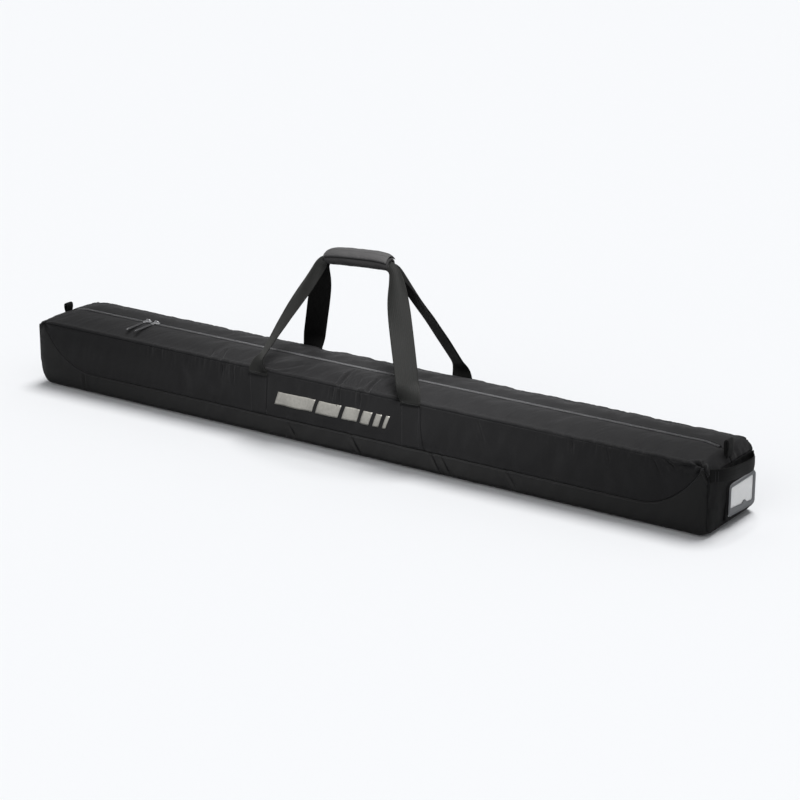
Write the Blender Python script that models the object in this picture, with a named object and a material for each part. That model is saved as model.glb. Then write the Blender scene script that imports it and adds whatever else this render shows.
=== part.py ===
"""Padded ski bag with a full-length zip, two carry loops and a wrapped grip.

Units are metres, +Z is up and +X runs along the bag. The origin is the centre of the
underside. The fabric is built as thin closed layers: outer skin, foam and lining.
"""

import math

import bmesh
import bpy
from mathutils import Matrix, Vector

# Overall sizes.
LENGTH = 1.75
WIDTH = 0.20
TOP_Z = 0.1515
GAP = 0.0003

# Layers of the padded wall.
SKIN = 0.0015
FOAM = 0.009
TOP_FOAM = 0.006
LINING = 0.0012

HALF_L = LENGTH / 2
HALF_W = WIDTH / 2
WALL_TOP = 0.1485

# Boot panel: the tough lower tray, whose side edge sweeps up to the top at each end.
BOOT_HEIGHT = 0.048
BOOT_SWEEP_START = 0.70
BOOT_SWEEP_LENGTH = 0.16
BOOT_SWEEP_RISE = 0.10
BOOT_CORNER = 0.012
TRAY_X = HALF_L - SKIN - 0.0005
SIDE_X = 0.858
HEEL_START = 0.855
HEEL_RISE = 0.014

# Inside of the bag.
FOAM_X = 0.8545
END_FOAM_IN = 0.8605
LINING_X = END_FOAM_IN - 0.0005
LINING_Y = HALF_W - SKIN - FOAM - 2 * GAP
LINING_FLOOR = SKIN + FOAM + 2 * GAP
LINING_TOP = 0.142

# Lid: the middle stretch of the top opens, the ends stay fixed.
FLAP_LEFT = -0.580
FLAP_RIGHT = 0.765
FLAP_HINGE_Y = 0.0975
FLAP_HINGE_Z = 0.1507
SKIN_EDGE_Y = 0.0968
SKIN_ZIP_Y = 0.0075
LID_FOAM_EDGE_Y = 0.0885
LID_FOAM_ZIP_Y = 0.018
SKIN_Z = TOP_Z - SKIN
LID_FOAM_Z = SKIN_Z - GAP - TOP_FOAM
CROWN = 0.012
CROWN_FLAT = 0.018
PIPING_Y = 0.0988
PIPING_R = 0.0011

# Zip, with two sliders that meet near the left end when the bag is closed.
ZIP_END = 0.850
ZIP_STOP_IN = 0.836
TAPE_Y = (0.0022, 0.0175)
TAPE_Z = (0.1489, 0.1497)
COIL_Y = (0.0013, 0.0050)
COIL_Z = (0.1500, 0.1522)
SLIDER_X = {"left": -0.6245, "right": -0.6000}
SLIDER_LENGTH = 0.016
SLIDER_HALF_W = 0.0055
SLIDER_PLATE_TOP = 0.1540 + CROWN
PULL_AXIS_Z = 0.1557 + CROWN
PULL_TURN = math.radians(1.5)
PULL_TILT = math.radians(7.5)

# Carry loops.
HANDLE_X = -0.031
STRAP_SPREAD = 0.200
STRAP_WIDTH = 0.050
STRAP_THICK = 0.0022
STRAP_FOOT_Y = 0.1038
STRAP_FOOT_Z = 0.1500
STRAP_START = 0.0025
STRAP_CORNER = 0.114
STRAP_CORNER_RADIUS = 0.020
LEAN_END = 0.80
LEAN_FLAT = 0.95
GRIP_Z = 0.408
GRIP_HALF_LENGTH = 0.083
GRIP_A = 0.019
GRIP_B = 0.018
FOLDED_WIDTH = 0.020
FOLDED_THICK = 0.0052
FOLDED_Y = 0.0030
FOLDED_DROP = 0.002
FLAP_SLOPE = math.tan(math.radians(27))
FLAP_LINE_Z = 0.0132
FLAP_CLEAR = 0.0020

# Details on the right end.
HAUL_Z = (0.116, 0.144)
HAUL_REACH = 0.086
HAUL_BOW = 0.022
HAUL_DROP = 0.018
WINDOW_Y = (-0.022, 0.092)
WINDOW_Z = (0.016, 0.090)
WINDOW_RIM = 0.010
BINDING_RIM = 0.007

FABRIC = (0.030, 0.031, 0.033)
BOOT_FABRIC = (0.040, 0.041, 0.043)
WEBBING = (0.035, 0.037, 0.034)
LINER = (0.12, 0.12, 0.125)
FOAM_GREY = (0.30, 0.30, 0.31)
METAL = (0.55, 0.56, 0.57)


def clear_scene():
    """Remove every object that the scene starts with."""
    for obj in list(bpy.data.objects):
        bpy.data.objects.remove(obj, do_unlink=True)


def material(name, colour, roughness=0.8, metallic=0.0, alpha=1.0):
    """Make one Principled material."""
    mat = bpy.data.materials.new(name)
    mat.use_nodes = True
    shader = mat.node_tree.nodes["Principled BSDF"]
    shader.inputs["Base Color"].default_value = (*colour, 1.0)
    shader.inputs["Roughness"].default_value = roughness
    shader.inputs["Metallic"].default_value = metallic
    shader.inputs["Alpha"].default_value = alpha
    return mat


def new_object(name, mesh, mat):
    """Link a mesh to the scene under its node name."""
    mesh.materials.append(mat)
    obj = bpy.data.objects.new(name, mesh)
    bpy.context.scene.collection.objects.link(obj)
    return obj


def loft(name, rings, mat, smooth=False):
    """Skin a row of rings with the same point count, and close both ends."""
    bm = bmesh.new()
    rows = [[bm.verts.new(point) for point in ring] for ring in rings]
    count = len(rows[0])
    for low, high in zip(rows, rows[1:]):
        for i in range(count):
            j = (i + 1) % count
            bm.faces.new((low[i], low[j], high[j], high[i]))
    bm.faces.new(list(reversed(rows[0])))
    bm.faces.new(rows[-1])
    bmesh.ops.recalc_face_normals(bm, faces=bm.faces)
    if smooth:
        for face in bm.faces:
            face.smooth = len(face.verts) == 4
    mesh = bpy.data.meshes.new(name)
    bm.to_mesh(mesh)
    bm.free()
    return new_object(name, mesh, mat)


def prism(name, outline, axis, low, high, mat, smooth=False):
    """Extrude a closed outline along X, Y or Z. The outline holds the other two axes in order."""
    place = {
        "X": lambda a, b, c: (c, a, b),
        "Y": lambda a, b, c: (a, c, b),
        "Z": lambda a, b, c: (a, b, c),
    }[axis]
    rings = [[place(a, b, level) for a, b in outline] for level in (low, high)]
    return loft(name, rings, mat, smooth)


def box(name, x, y, z, mat):
    """Make a box from its three ranges."""
    outline = [(x[0], y[0]), (x[1], y[0]), (x[1], y[1]), (x[0], y[1])]
    return prism(name, outline, "Z", z[0], z[1], mat)


def frame_plate(name, outer, inner, axis_ranges, mat):
    """Make a flat rectangular ring in the YZ plane. outer and inner are (y range, z range)."""
    def ring(rect, x):
        (y0, y1), (z0, z1) = rect
        return [(x, y0, z0), (x, y1, z0), (x, y1, z1), (x, y0, z1)]

    back, front = axis_ranges
    rings = [ring(outer, back), ring(outer, front), ring(inner, front), ring(inner, back)]
    bm = bmesh.new()
    rows = [[bm.verts.new(point) for point in points] for points in rings]
    for low, high in zip(rows, rows[1:] + rows[:1]):
        for i in range(4):
            j = (i + 1) % 4
            bm.faces.new((low[i], low[j], high[j], high[i]))
    bmesh.ops.recalc_face_normals(bm, faces=bm.faces)
    mesh = bpy.data.meshes.new(name)
    bm.to_mesh(mesh)
    bm.free()
    return new_object(name, mesh, mat)


def set_origin(obj, point):
    """Move an object's origin to a point and leave its shape where it is."""
    pivot = Vector(point)
    obj.data.transform(Matrix.Translation(-pivot))
    obj.location = pivot
    return obj


def crowned(obj):
    """Raise the upper points of a lid piece towards the zip, where the padded top stands highest."""
    bm = bmesh.new()
    bm.from_mesh(obj.data)
    for y in (-SKIN_EDGE_Y, -CROWN_FLAT, CROWN_FLAT, SKIN_EDGE_Y):
        everything = bm.verts[:] + bm.edges[:] + bm.faces[:]
        bmesh.ops.bisect_plane(bm, geom=everything, dist=1e-6, plane_co=(0, y, 0), plane_no=(0, 1, 0))
    for vert in bm.verts:
        if vert.co.z > LINING_TOP - 0.002:
            share = (SKIN_EDGE_Y - abs(vert.co.y)) / (SKIN_EDGE_Y - CROWN_FLAT)
            vert.co.z += CROWN * min(max(share, 0.0), 1.0)
    bm.to_mesh(obj.data)
    bm.free()
    return obj


def union(base, other):
    """Join a helper solid into a base solid with a Boolean, and hide the helper."""
    modifier = base.modifiers.new("join", "BOOLEAN")
    modifier.operation = "UNION"
    modifier.solver = "EXACT"
    modifier.object = other
    other.hide_render = True
    other.display_type = "WIRE"


def boot_top(x):
    """Height of the boot panel's upper seam at a place along the bag."""
    reach = max(0.0, abs(x) - BOOT_SWEEP_START) / BOOT_SWEEP_LENGTH
    return min(BOOT_HEIGHT + BOOT_SWEEP_RISE * reach ** 2.5, WALL_TOP)


def heel(x):
    """Height that the underside lifts off the floor near each end."""
    reach = max(0.0, abs(x) - HEEL_START) / (HALF_L - HEEL_START)
    return HEEL_RISE * reach ** 2


def boot_ring(x):
    """Cross-section of the boot tray: a U with rounded lower corners."""
    top = boot_top(x)
    floor = heel(x)

    def side(inset):
        points = [(HALF_W - inset, top)]
        radius = BOOT_CORNER - inset
        for step in range(4):
            angle = math.radians(30 * step)
            y = HALF_W - BOOT_CORNER + radius * math.cos(angle)
            z = floor + BOOT_CORNER - radius * math.sin(angle)
            points.append((y, z))
        return points

    outer = side(0.0)
    inner = side(SKIN)
    loop = [(-y, z) for y, z in outer] + list(reversed(outer))
    loop += inner + [(-y, z) for y, z in reversed(inner)]
    return [(x, y, z) for y, z in loop]


def mirrored(values):
    """Places from the far left to the far right of a list of distances from the middle."""
    return [-v for v in reversed(values)] + list(values)


def build_outer_shell():
    """Boot tray, side panels and end panels."""
    stations = mirrored([0.25, 0.70, 0.73, 0.76, 0.785, 0.81, 0.83, 0.845, 0.855, 0.861, 0.867, TRAY_X])
    loft("boot_panel", [boot_ring(x) for x in stations], material("boot_panel", BOOT_FABRIC, 0.75))
    side_stations = mirrored([0.25, 0.70, 0.73, 0.76, 0.785, 0.81, 0.83, 0.845, SIDE_X])
    lower = [(x, boot_top(x) + GAP) for x in side_stations]
    outline = lower + [(SIDE_X, WALL_TOP), (-SIDE_X, WALL_TOP)]
    for name, y in (("side_panel_front", -HALF_W), ("side_panel_rear", HALF_W - SKIN)):
        prism(name, outline, "Y", y, y + SKIN, material(name, FABRIC, 0.8))
    for name, x in (("end_panel_left", -HALF_L), ("end_panel_right", HALF_L - SKIN)):
        z = (HEEL_RISE, SKIN_Z - GAP)
        crowned(box(name, (x, x + SKIN), (-HALF_W, HALF_W), z, material(name, FABRIC, 0.8)))


def build_padding():
    """Foam in the floor, sides and ends, and the lining tub inside it."""
    foam_y = (HALF_W - SKIN - GAP - FOAM, HALF_W - SKIN - GAP)
    floor_z = (SKIN + GAP, SKIN + GAP + FOAM)
    box("bottom_foam", (-FOAM_X, FOAM_X), (-0.0862, 0.0862), floor_z, material("bottom_foam", FOAM_GREY, 0.95))
    for name, sign in (("side_foam_front", -1), ("side_foam_rear", 1)):
        y = tuple(sorted((sign * foam_y[0], sign * foam_y[1])))
        box(name, (-FOAM_X, FOAM_X), y, (BOOT_CORNER + 0.0005, 0.148), material(name, FOAM_GREY, 0.95))
    for name, sign in (("end_foam_left", -1), ("end_foam_right", 1)):
        x = tuple(sorted((sign * END_FOAM_IN, sign * (TRAY_X - 0.0003))))
        crowned(box(name, x, (-0.0975, 0.0975), (0.0285, 0.148), material(name, FOAM_GREY, 0.95)))
    rings = []
    for inset, z in ((0, LINING_FLOOR), (0, LINING_TOP), (LINING, LINING_TOP), (LINING, LINING_FLOOR + LINING)):
        x = LINING_X - inset
        y = LINING_Y - inset
        rings.append([(-x, -y, z), (x, -y, z), (x, y, z), (-x, y, z)])
    loft("lining_tub", rings, material("lining_tub", LINER, 0.85))


def slotted_plate(name, sign, x_out, x_in, half_y, slot_y, slot_x, z, mat):
    """U-shaped plate at one end of the lid, open towards the middle of the bag."""
    outline = [
        (x_out, -half_y), (x_in, -half_y), (x_in, -slot_y), (slot_x, -slot_y),
        (slot_x, slot_y), (x_in, slot_y), (x_in, half_y), (x_out, half_y),
    ]
    return crowned(prism(name, [(sign * x, y) for x, y in outline], "Z", z[0], z[1], mat))


def build_lid_ends():
    """Fixed ends of the top panel, with their foam and the ends of the zip."""
    for side, sign, inner in (("left", -1, -FLAP_LEFT), ("right", 1, FLAP_RIGHT)):
        x_in = inner + 0.0005
        slotted_plate(
            f"top_end_panel_{side}", sign, TRAY_X, x_in, SKIN_EDGE_Y, SKIN_ZIP_Y, 0.843,
            (SKIN_Z, TOP_Z), material(f"top_end_panel_{side}", FABRIC, 0.8))
        slotted_plate(
            f"top_end_foam_{side}", sign, 0.8595, x_in, LID_FOAM_EDGE_Y, LID_FOAM_ZIP_Y, 0.8525,
            (LID_FOAM_Z, LID_FOAM_Z + TOP_FOAM), material(f"top_end_foam_{side}", FOAM_GREY, 0.95))
        slotted_plate(
            f"zip_tape_{side}", sign, ZIP_END, x_in, TAPE_Y[1], TAPE_Y[0], 0.842,
            TAPE_Z, material(f"zip_tape_{side}", FABRIC, 0.85))
        slotted_plate(
            f"zip_coil_{side}", sign, 0.8405, x_in, COIL_Y[1], COIL_Y[0], ZIP_STOP_IN,
            COIL_Z, material(f"zip_coil_{side}", (0.02, 0.02, 0.02), 0.4))


def build_lid_flap(side, sign):
    """One half of the opening lid. Its outer edge turns on the top seam of the bag."""
    pivot = (0.0, sign * FLAP_HINGE_Y, FLAP_HINGE_Z)
    x = (FLAP_LEFT, FLAP_RIGHT)

    def slab(name, y_low, y_high, z, mat):
        y = tuple(sorted((sign * y_low, sign * y_high)))
        set_origin(crowned(box(name, x, y, z, mat)), pivot)

    skin = material(f"top_panel_{side}", FABRIC, 0.8)
    slab(f"top_panel_{side}", SKIN_ZIP_Y, SKIN_EDGE_Y, (SKIN_Z, TOP_Z), skin)
    foam = material(f"top_foam_{side}", FOAM_GREY, 0.95)
    slab(f"top_foam_{side}", LID_FOAM_ZIP_Y, LID_FOAM_EDGE_Y, (LID_FOAM_Z, LID_FOAM_Z + TOP_FOAM), foam)
    lining = material(f"top_lining_{side}", LINER, 0.85)
    lining_z = (LID_FOAM_Z - GAP - 0.0009, LID_FOAM_Z - GAP)
    slab(f"top_lining_{side}", LID_FOAM_ZIP_Y, LID_FOAM_EDGE_Y, lining_z, lining)
    slab(f"zip_tape_{side}", *TAPE_Y, TAPE_Z, material(f"zip_tape_{side}", FABRIC, 0.85))
    slab(f"zip_coil_{side}", *COIL_Y, COIL_Z, material(f"zip_coil_{side}", (0.02, 0.02, 0.02), 0.4))


def build_piping():
    """Corded seam along each long top edge."""
    circle = [(PIPING_R * math.cos(math.radians(a)), PIPING_R * math.sin(math.radians(a)))
              for a in range(0, 360, 45)]
    for side, sign in (("front", -1), ("rear", 1)):
        outline = [(sign * PIPING_Y + a, FLAP_HINGE_Z + b) for a, b in circle]
        name = f"edge_piping_{side}"
        prism(name, outline, "X", -0.872, 0.872, material(name, FABRIC, 0.6), smooth=True)


def build_slider(side):
    """Zip slider: two plates joined by a post between the coils, with a bridge on top."""
    x = SLIDER_X[side]
    half = SLIDER_LENGTH / 2
    post = 0.0008
    under = (SLIDER_PLATE_TOP - 0.0070, SLIDER_PLATE_TOP - 0.0054)
    over = (SLIDER_PLATE_TOP - 0.0015, SLIDER_PLATE_TOP)
    w = SLIDER_HALF_W
    outline = [
        (-w, under[0]), (w, under[0]), (w, under[1]), (post, under[1]), (post, over[0]), (w, over[0]),
        (w, over[1]), (-w, over[1]), (-w, over[0]), (-post, over[0]), (-post, under[1]), (-w, under[1]),
    ]
    metal = material(f"zip_slider_{side}", METAL, 0.35, 1.0)
    body = prism(f"zip_slider_{side}", outline, "X", x - half, x + half, metal)
    leg_out = 0.0032
    leg_in = 0.0020
    foot = SLIDER_PLATE_TOP - 0.0005
    inner = SLIDER_PLATE_TOP + 0.0031
    outer = SLIDER_PLATE_TOP + 0.0044
    bridge_outline = [
        (-leg_out, foot), (-leg_in, foot), (-leg_in, inner), (leg_in, inner),
        (leg_in, foot), (leg_out, foot), (leg_out, outer), (-leg_out, outer),
    ]
    bridge = prism(f"slider_bridge_{side}", bridge_outline, "X", x - 0.0016, x + 0.0016, metal)
    union(body, bridge)


def build_pull(side):
    """Zip pull: a metal link through the slider's bridge and a long moulded grip."""
    pivot = Vector((SLIDER_X[side], 0.0, PULL_AXIS_Z))
    turn = Matrix.Translation(pivot) @ Matrix.Rotation(PULL_TURN, 4, "Z") @ Matrix.Rotation(PULL_TILT, 4, "X")

    def plate_ring(x, y, z):
        return [(-x, y[0], z), (x, y[0], z), (x, y[1], z), (-x, y[1], z)]

    outer = (0.0042, (-0.0171, 0.0009))
    inner = (0.0030, (-0.0150, -0.0009))
    rings = [plate_ring(*outer, -0.0007), plate_ring(*outer, 0.0007)]
    rings += [plate_ring(*inner, 0.0007), plate_ring(*inner, -0.0007)]
    bm = bmesh.new()
    rows = [[bm.verts.new(point) for point in points] for points in rings]
    for low, high in zip(rows, rows[1:] + rows[:1]):
        for i in range(4):
            j = (i + 1) % 4
            bm.faces.new((low[i], low[j], high[j], high[i]))
    bmesh.ops.recalc_face_normals(bm, faces=bm.faces)
    name = f"pull_link_{side}"
    mesh = bpy.data.meshes.new(name)
    bm.to_mesh(mesh)
    bm.free()
    link = new_object(name, mesh, material(name, METAL, 0.35, 1.0))
    outline = [
        (-0.0125, -0.0016), (-0.0125, -0.0010), (-0.0175, -0.0010), (-0.0175, 0.0010),
        (-0.0125, 0.0010), (-0.0125, 0.0016), (-0.0790, 0.0016), (-0.0800, 0.0008),
        (-0.0800, -0.0008), (-0.0790, -0.0016),
    ]
    name = f"pull_grip_{side}"
    grip = prism(name, outline, "X", -0.0045, 0.0045, material(name, (0.05, 0.05, 0.05), 0.4))
    for obj in (link, grip):
        obj.data.transform(Matrix.Translation(-pivot) @ turn)
        obj.location = pivot


def build_zip_end_loop(side, sign):
    """Small fabric loop standing at one end of the zip."""
    outline = []
    for radius_x, radius_z in ((0.0080, 0.0110), (0.0065, 0.0095)):
        arc = []
        for step in range(9):
            angle = math.pi * step / 8
            x = sign * 0.8645 + radius_x * math.cos(angle)
            arc.append((x, TOP_Z + CROWN + GAP + radius_z * math.sin(angle)))
        outline += arc if not outline else list(reversed(arc))
    name = f"zip_end_loop_{side}"
    prism(name, outline, "Y", -0.0125, 0.0125, material(name, WEBBING, 0.8))


def strap_profile(v):
    """Front loop's side view: place (y, z) at a distance v up the strap from its foot."""
    share = v / (GRIP_Z - FOLDED_DROP - STRAP_FOOT_Z)
    bend = min(max((share - LEAN_END) / (LEAN_FLAT - LEAN_END), 0.0), 1.0)
    lean = min(share, LEAN_END) + (LEAN_FLAT - LEAN_END) * (bend - bend ** 2 / 2)
    lean /= (LEAN_END + LEAN_FLAT) / 2
    return -STRAP_FOOT_Y + (STRAP_FOOT_Y - FOLDED_Y) * lean, STRAP_FOOT_Z + v


def strap_point(u, v, offset):
    """Map a place on the flat strap, and a distance off its middle face, to the front loop."""
    step = 0.001
    y0, z0 = strap_profile(v - step)
    y1, z1 = strap_profile(v + step)
    length = math.hypot(y1 - y0, z1 - z0)
    normal = ((z1 - z0) / length, -(y1 - y0) / length)
    y, z = strap_profile(v)
    return HANDLE_X + u, y + normal[0] * offset, z + normal[1] * offset


def strap_stations():
    """Centre line of half a loop, from its foot to the middle of the grip, with widths."""
    top = GRIP_Z - FOLDED_DROP - STRAP_FOOT_Z
    foot = Vector((STRAP_SPREAD, STRAP_START))
    corner = Vector((STRAP_CORNER, top))
    leg = (corner - foot).normalized()
    turn = leg.angle(Vector((-1, 0)))
    radius = STRAP_CORNER_RADIUS
    back = radius * math.tan(turn / 2)
    arc_start = corner - leg * back
    stations = [(foot, Vector((1, 0)), STRAP_WIDTH, STRAP_THICK)]
    across = Vector((-leg.y, leg.x))
    if across.x < 0:
        across = -across
    for share in (0.10, 0.35, 0.6, 0.8):
        width = STRAP_WIDTH if share < 0.7 else 0.040
        stations.append((foot.lerp(arc_start, share), across, width, STRAP_THICK))
    centre = arc_start - across * radius
    steps = 5
    for step in range(steps + 1):
        share = step / steps
        angle = turn * share
        away = Vector((across.x * math.cos(angle) - across.y * math.sin(angle),
                       across.x * math.sin(angle) + across.y * math.cos(angle)))
        width = 0.030 + (FOLDED_WIDTH - 0.030) * share
        thick = STRAP_THICK + (FOLDED_THICK - STRAP_THICK) * share
        stations.append((centre + away * radius, away, width, thick))
    return stations


def build_loop(side, sign):
    """Carry loop of flat webbing, folded lengthwise where the grip holds it."""
    half = strap_stations()
    other = [(Vector((-p.x, p.y)), Vector((-w.x, w.y)), width, thick) for p, w, width, thick in reversed(half)]
    rings = []
    for index, (point, across, width, thick) in enumerate(half + other):
        ring = []
        for a, b in ((1, 1), (1, -1), (-1, -1), (-1, 1)):
            edge = point + across * (a * width / 2)
            x, y, z = strap_point(edge.x, edge.y, b * thick / 2)
            ring.append((x, -sign * y, z))
        rings.append(ring)
    name = f"webbing_loop_{side}"
    loop = loft(name, rings, material(name, WEBBING, 0.75))
    set_origin(loop, (HANDLE_X, sign * STRAP_FOOT_Y, STRAP_FOOT_Z))


def build_anchor_strips():
    """Webbing sewn down the side of the bag under each foot of the loops."""
    for side, sign in (("front", -1), ("rear", 1)):
        for end, along in (("left", -1), ("right", 1)):
            x = HANDLE_X + along * STRAP_SPREAD
            y = tuple(sorted((sign * (HALF_W + 0.0004), sign * (HALF_W + 0.0004 + STRAP_THICK))))
            name = f"anchor_strip_{side}_{end}"
            half = STRAP_WIDTH / 2
            box(name, (x - half, x + half), y, (BOOT_HEIGHT - 0.002, 0.1490), material(name, WEBBING, 0.75))


def grip_arc(start, end, steps):
    """Points on the grip's outline between two angles in degrees, from +Y towards +Z."""
    points = []
    for step in range(steps + 1):
        angle = math.radians(start + (end - start) * step / steps)
        points.append((GRIP_A * math.cos(angle), GRIP_B * math.sin(angle)))
    return points


def line_angles(level):
    """Angles where the wrap's parting line, at a height over the grip's centre, leaves its outline."""
    a = 1 / GRIP_A ** 2 + FLAP_SLOPE ** 2 / GRIP_B ** 2
    b = -2 * level * FLAP_SLOPE / GRIP_B ** 2
    c = level ** 2 / GRIP_B ** 2 - 1
    root = math.sqrt(b ** 2 - 4 * a * c)
    angles = []
    for y in ((-b - root) / (2 * a), (-b + root) / (2 * a)):
        z = level - FLAP_SLOPE * y
        angles.append(math.degrees(math.atan2(z / GRIP_B, y / GRIP_A)))
    return angles


def grip_prism(name, outline, half_length, mat):
    """Extrude a grip outline, given about the grip's centre, along the grip."""
    placed = [(y, GRIP_Z + z) for y, z in outline]
    return prism(name, placed, "X", HANDLE_X - half_length, HANDLE_X + half_length, mat)


def build_grip():
    """Padded wrap: a pad on each loop, and a flap that closes over the top."""
    cavity_y = FOLDED_Y + FOLDED_THICK / 2 + 0.0004
    cavity_low = -FOLDED_DROP - FOLDED_WIDTH / 2 - 0.0005
    cavity_high = -FOLDED_DROP + FOLDED_WIDTH / 2 + 0.0005
    part = GAP / 2
    front_angle, rear_angle = line_angles(FLAP_LINE_Z)[0], line_angles(FLAP_LINE_Z)[1]
    below = math.degrees(part / GRIP_A)
    inside = [(part, cavity_low), (cavity_y, cavity_low), (cavity_y, cavity_high), (part, cavity_high)]
    front = grip_arc(front_angle, 270 - below, 14)
    front += [(-y, z) for y, z in inside]
    front.append((-part, FLAP_LINE_Z + FLAP_SLOPE * part))
    rear = grip_arc(rear_angle, -90 + below, 9)
    rear += inside
    rear.append((part, FLAP_LINE_Z - FLAP_SLOPE * part))
    feet = {"front": (-1, front), "rear": (1, rear)}
    for side, (sign, outline) in feet.items():
        name = f"grip_pad_{side}"
        pad = grip_prism(name, outline, GRIP_HALF_LENGTH, material(name, FABRIC, 0.7))
        set_origin(pad, (HANDLE_X, sign * STRAP_FOOT_Y, STRAP_FOOT_Z))
    build_grip_flap(rear_angle)


def build_grip_flap(rear_angle):
    """Closing flap with its hook strip, and the loop strip on the front pad."""
    cosine = 1 / math.hypot(1, FLAP_SLOPE)
    level = FLAP_LINE_Z + FLAP_CLEAR / cosine
    tip, root = line_angles(level)
    pivot_y = GRIP_A * math.cos(math.radians(rear_angle))
    pivot_z = GRIP_B * math.sin(math.radians(rear_angle)) + FLAP_CLEAR / 2
    pivot = (HANDLE_X, pivot_y, GRIP_Z + pivot_z)
    outline = grip_arc(root + 4, tip, 12)
    flap = grip_prism("grip_flap", outline, GRIP_HALF_LENGTH, material("grip_flap", FABRIC, 0.7))
    set_origin(flap, pivot)

    def strip(name, y_range, lift, mat):
        low = lift / cosine
        high = (lift + 0.0006) / cosine
        corners = []
        for y, rise in ((y_range[0], low), (y_range[1], low), (y_range[1], high), (y_range[0], high)):
            corners.append((y, FLAP_LINE_Z - FLAP_SLOPE * y + rise))
        return grip_prism(name, corners, GRIP_HALF_LENGTH - 0.004, mat)

    loop_strip = strip("grip_loop_strip", (-0.0048, -0.0006), 0.00025, material("grip_loop_strip", WEBBING, 0.95))
    set_origin(loop_strip, (HANDLE_X, -STRAP_FOOT_Y, STRAP_FOOT_Z))
    hook_strip = strip("grip_hook_strip", (-0.0044, 0.0060), 0.00110, material("grip_hook_strip", WEBBING, 0.9))
    set_origin(hook_strip, pivot)


def build_haul_handle():
    """Short webbing handle across the right end, bowed out for the fingers and lower towards the rear."""
    rings = []
    steps = 16
    thick = 0.0020
    for step in range(steps + 1):
        y = -0.097 + 0.194 * step / steps
        near = min(abs(y) / HAUL_REACH, 1.0)
        x = HALF_L + 0.0004 + HAUL_BOW * (1 - near ** 4)
        drop = HAUL_DROP * step / steps
        low, high = HAUL_Z[0] - drop, HAUL_Z[1] - drop
        rings.append([(x, y, low), (x + thick, y, low), (x + thick, y, high), (x, y, high)])
    loft("haul_handle", rings, material("haul_handle", WEBBING, 0.75))


def build_id_window():
    """Card window on the right end: binding, rim, clear film and the card that slides out."""
    (y0, y1), (z0, z1) = WINDOW_Y, WINDOW_Z
    x = HALF_L + GAP
    rim = BINDING_RIM
    outline = [
        (y0, z0), (y1, z0), (y1, z1), (y0, z1),
        (y0, z1 - rim), (y1 - rim, z1 - rim), (y1 - rim, z0 + rim), (y0, z0 + rim),
    ]
    prism("id_pocket_binding", outline, "X", x, x + 0.0012, material("id_pocket_binding", FABRIC, 0.8))
    inner = ((y0 + WINDOW_RIM, y1 - WINDOW_RIM), (z0 + WINDOW_RIM, z1 - WINDOW_RIM))
    rim_x = (HALF_L + 0.0018, HALF_L + 0.0030)
    grey = material("id_window_rim", (0.25, 0.26, 0.27), 0.6)
    frame_plate("id_window_rim", (WINDOW_Y, WINDOW_Z), inner, rim_x, grey)
    film_y = (inner[0][0] + GAP, inner[0][1] - GAP)
    film_z = (inner[1][0] + GAP, inner[1][1] - GAP)
    film = material("id_window_film", (0.9, 0.9, 0.9), 0.1, 0.0, 0.3)
    box("id_window_film", (HALF_L + 0.0019, HALF_L + 0.0024), film_y, film_z, film)
    card_y = (y0 + 0.002, y1 - rim - 0.0005)
    card_z = (z0 + rim + 0.0005, z1 - rim - 0.0005)
    card = box("id_card", (HALF_L + 0.0006, HALF_L + 0.0011), card_y, card_z, material("id_card", (0.9, 0.9, 0.88), 0.6))
    set_origin(card, (HALF_L + 0.0006, (card_y[0] + card_y[1]) / 2, card_z[0]))


def build_front_badge():
    """Plain silver strip on the front side, between the straps."""
    slant = 0.012
    x0, x1 = -0.185, 0.108
    z0, z1 = 0.080, 0.110
    outline = [(x0, z0), (x1, z0), (x1 + slant, z1), (x0 + slant, z1)]
    y = -HALF_W - 0.0004
    prism("front_badge", outline, "Y", y - 0.0005, y, material("front_badge", (0.6, 0.59, 0.57), 0.4, 0.6))


def build_bag():
    """Build every piece of the ski bag."""
    clear_scene()
    build_outer_shell()
    build_padding()
    build_lid_ends()
    build_piping()
    for side, sign in (("front", -1), ("rear", 1)):
        build_lid_flap(side, sign)
        build_loop(side, sign)
    for side, sign in (("left", -1), ("right", 1)):
        build_slider(side)
        build_pull(side)
        build_zip_end_loop(side, sign)
    build_anchor_strips()
    build_grip()
    build_haul_handle()
    build_id_window()
    build_front_badge()


build_bag()
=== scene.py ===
"""Looks of the padded ski bag: sewn shell, lid, zip, carry loops, grip and end details."""

import math

import bmesh
import bpy
import numpy as np
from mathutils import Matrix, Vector, noise


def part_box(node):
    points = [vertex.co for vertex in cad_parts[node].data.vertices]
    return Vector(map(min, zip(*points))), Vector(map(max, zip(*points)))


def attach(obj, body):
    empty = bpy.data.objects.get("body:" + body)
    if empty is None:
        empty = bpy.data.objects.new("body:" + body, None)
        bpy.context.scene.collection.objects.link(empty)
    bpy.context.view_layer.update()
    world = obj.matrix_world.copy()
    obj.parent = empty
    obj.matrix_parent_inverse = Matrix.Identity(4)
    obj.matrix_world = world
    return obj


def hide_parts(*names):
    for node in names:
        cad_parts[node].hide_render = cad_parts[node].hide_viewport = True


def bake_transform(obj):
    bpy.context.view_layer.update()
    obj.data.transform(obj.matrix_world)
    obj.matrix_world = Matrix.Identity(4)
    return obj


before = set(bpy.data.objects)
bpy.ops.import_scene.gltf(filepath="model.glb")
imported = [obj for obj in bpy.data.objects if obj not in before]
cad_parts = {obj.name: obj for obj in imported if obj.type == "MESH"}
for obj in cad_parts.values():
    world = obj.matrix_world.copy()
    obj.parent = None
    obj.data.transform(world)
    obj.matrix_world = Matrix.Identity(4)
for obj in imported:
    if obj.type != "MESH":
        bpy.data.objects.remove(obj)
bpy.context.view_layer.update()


# ---------------------------------------------------------------- sizes, in metres, from the frame

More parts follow.
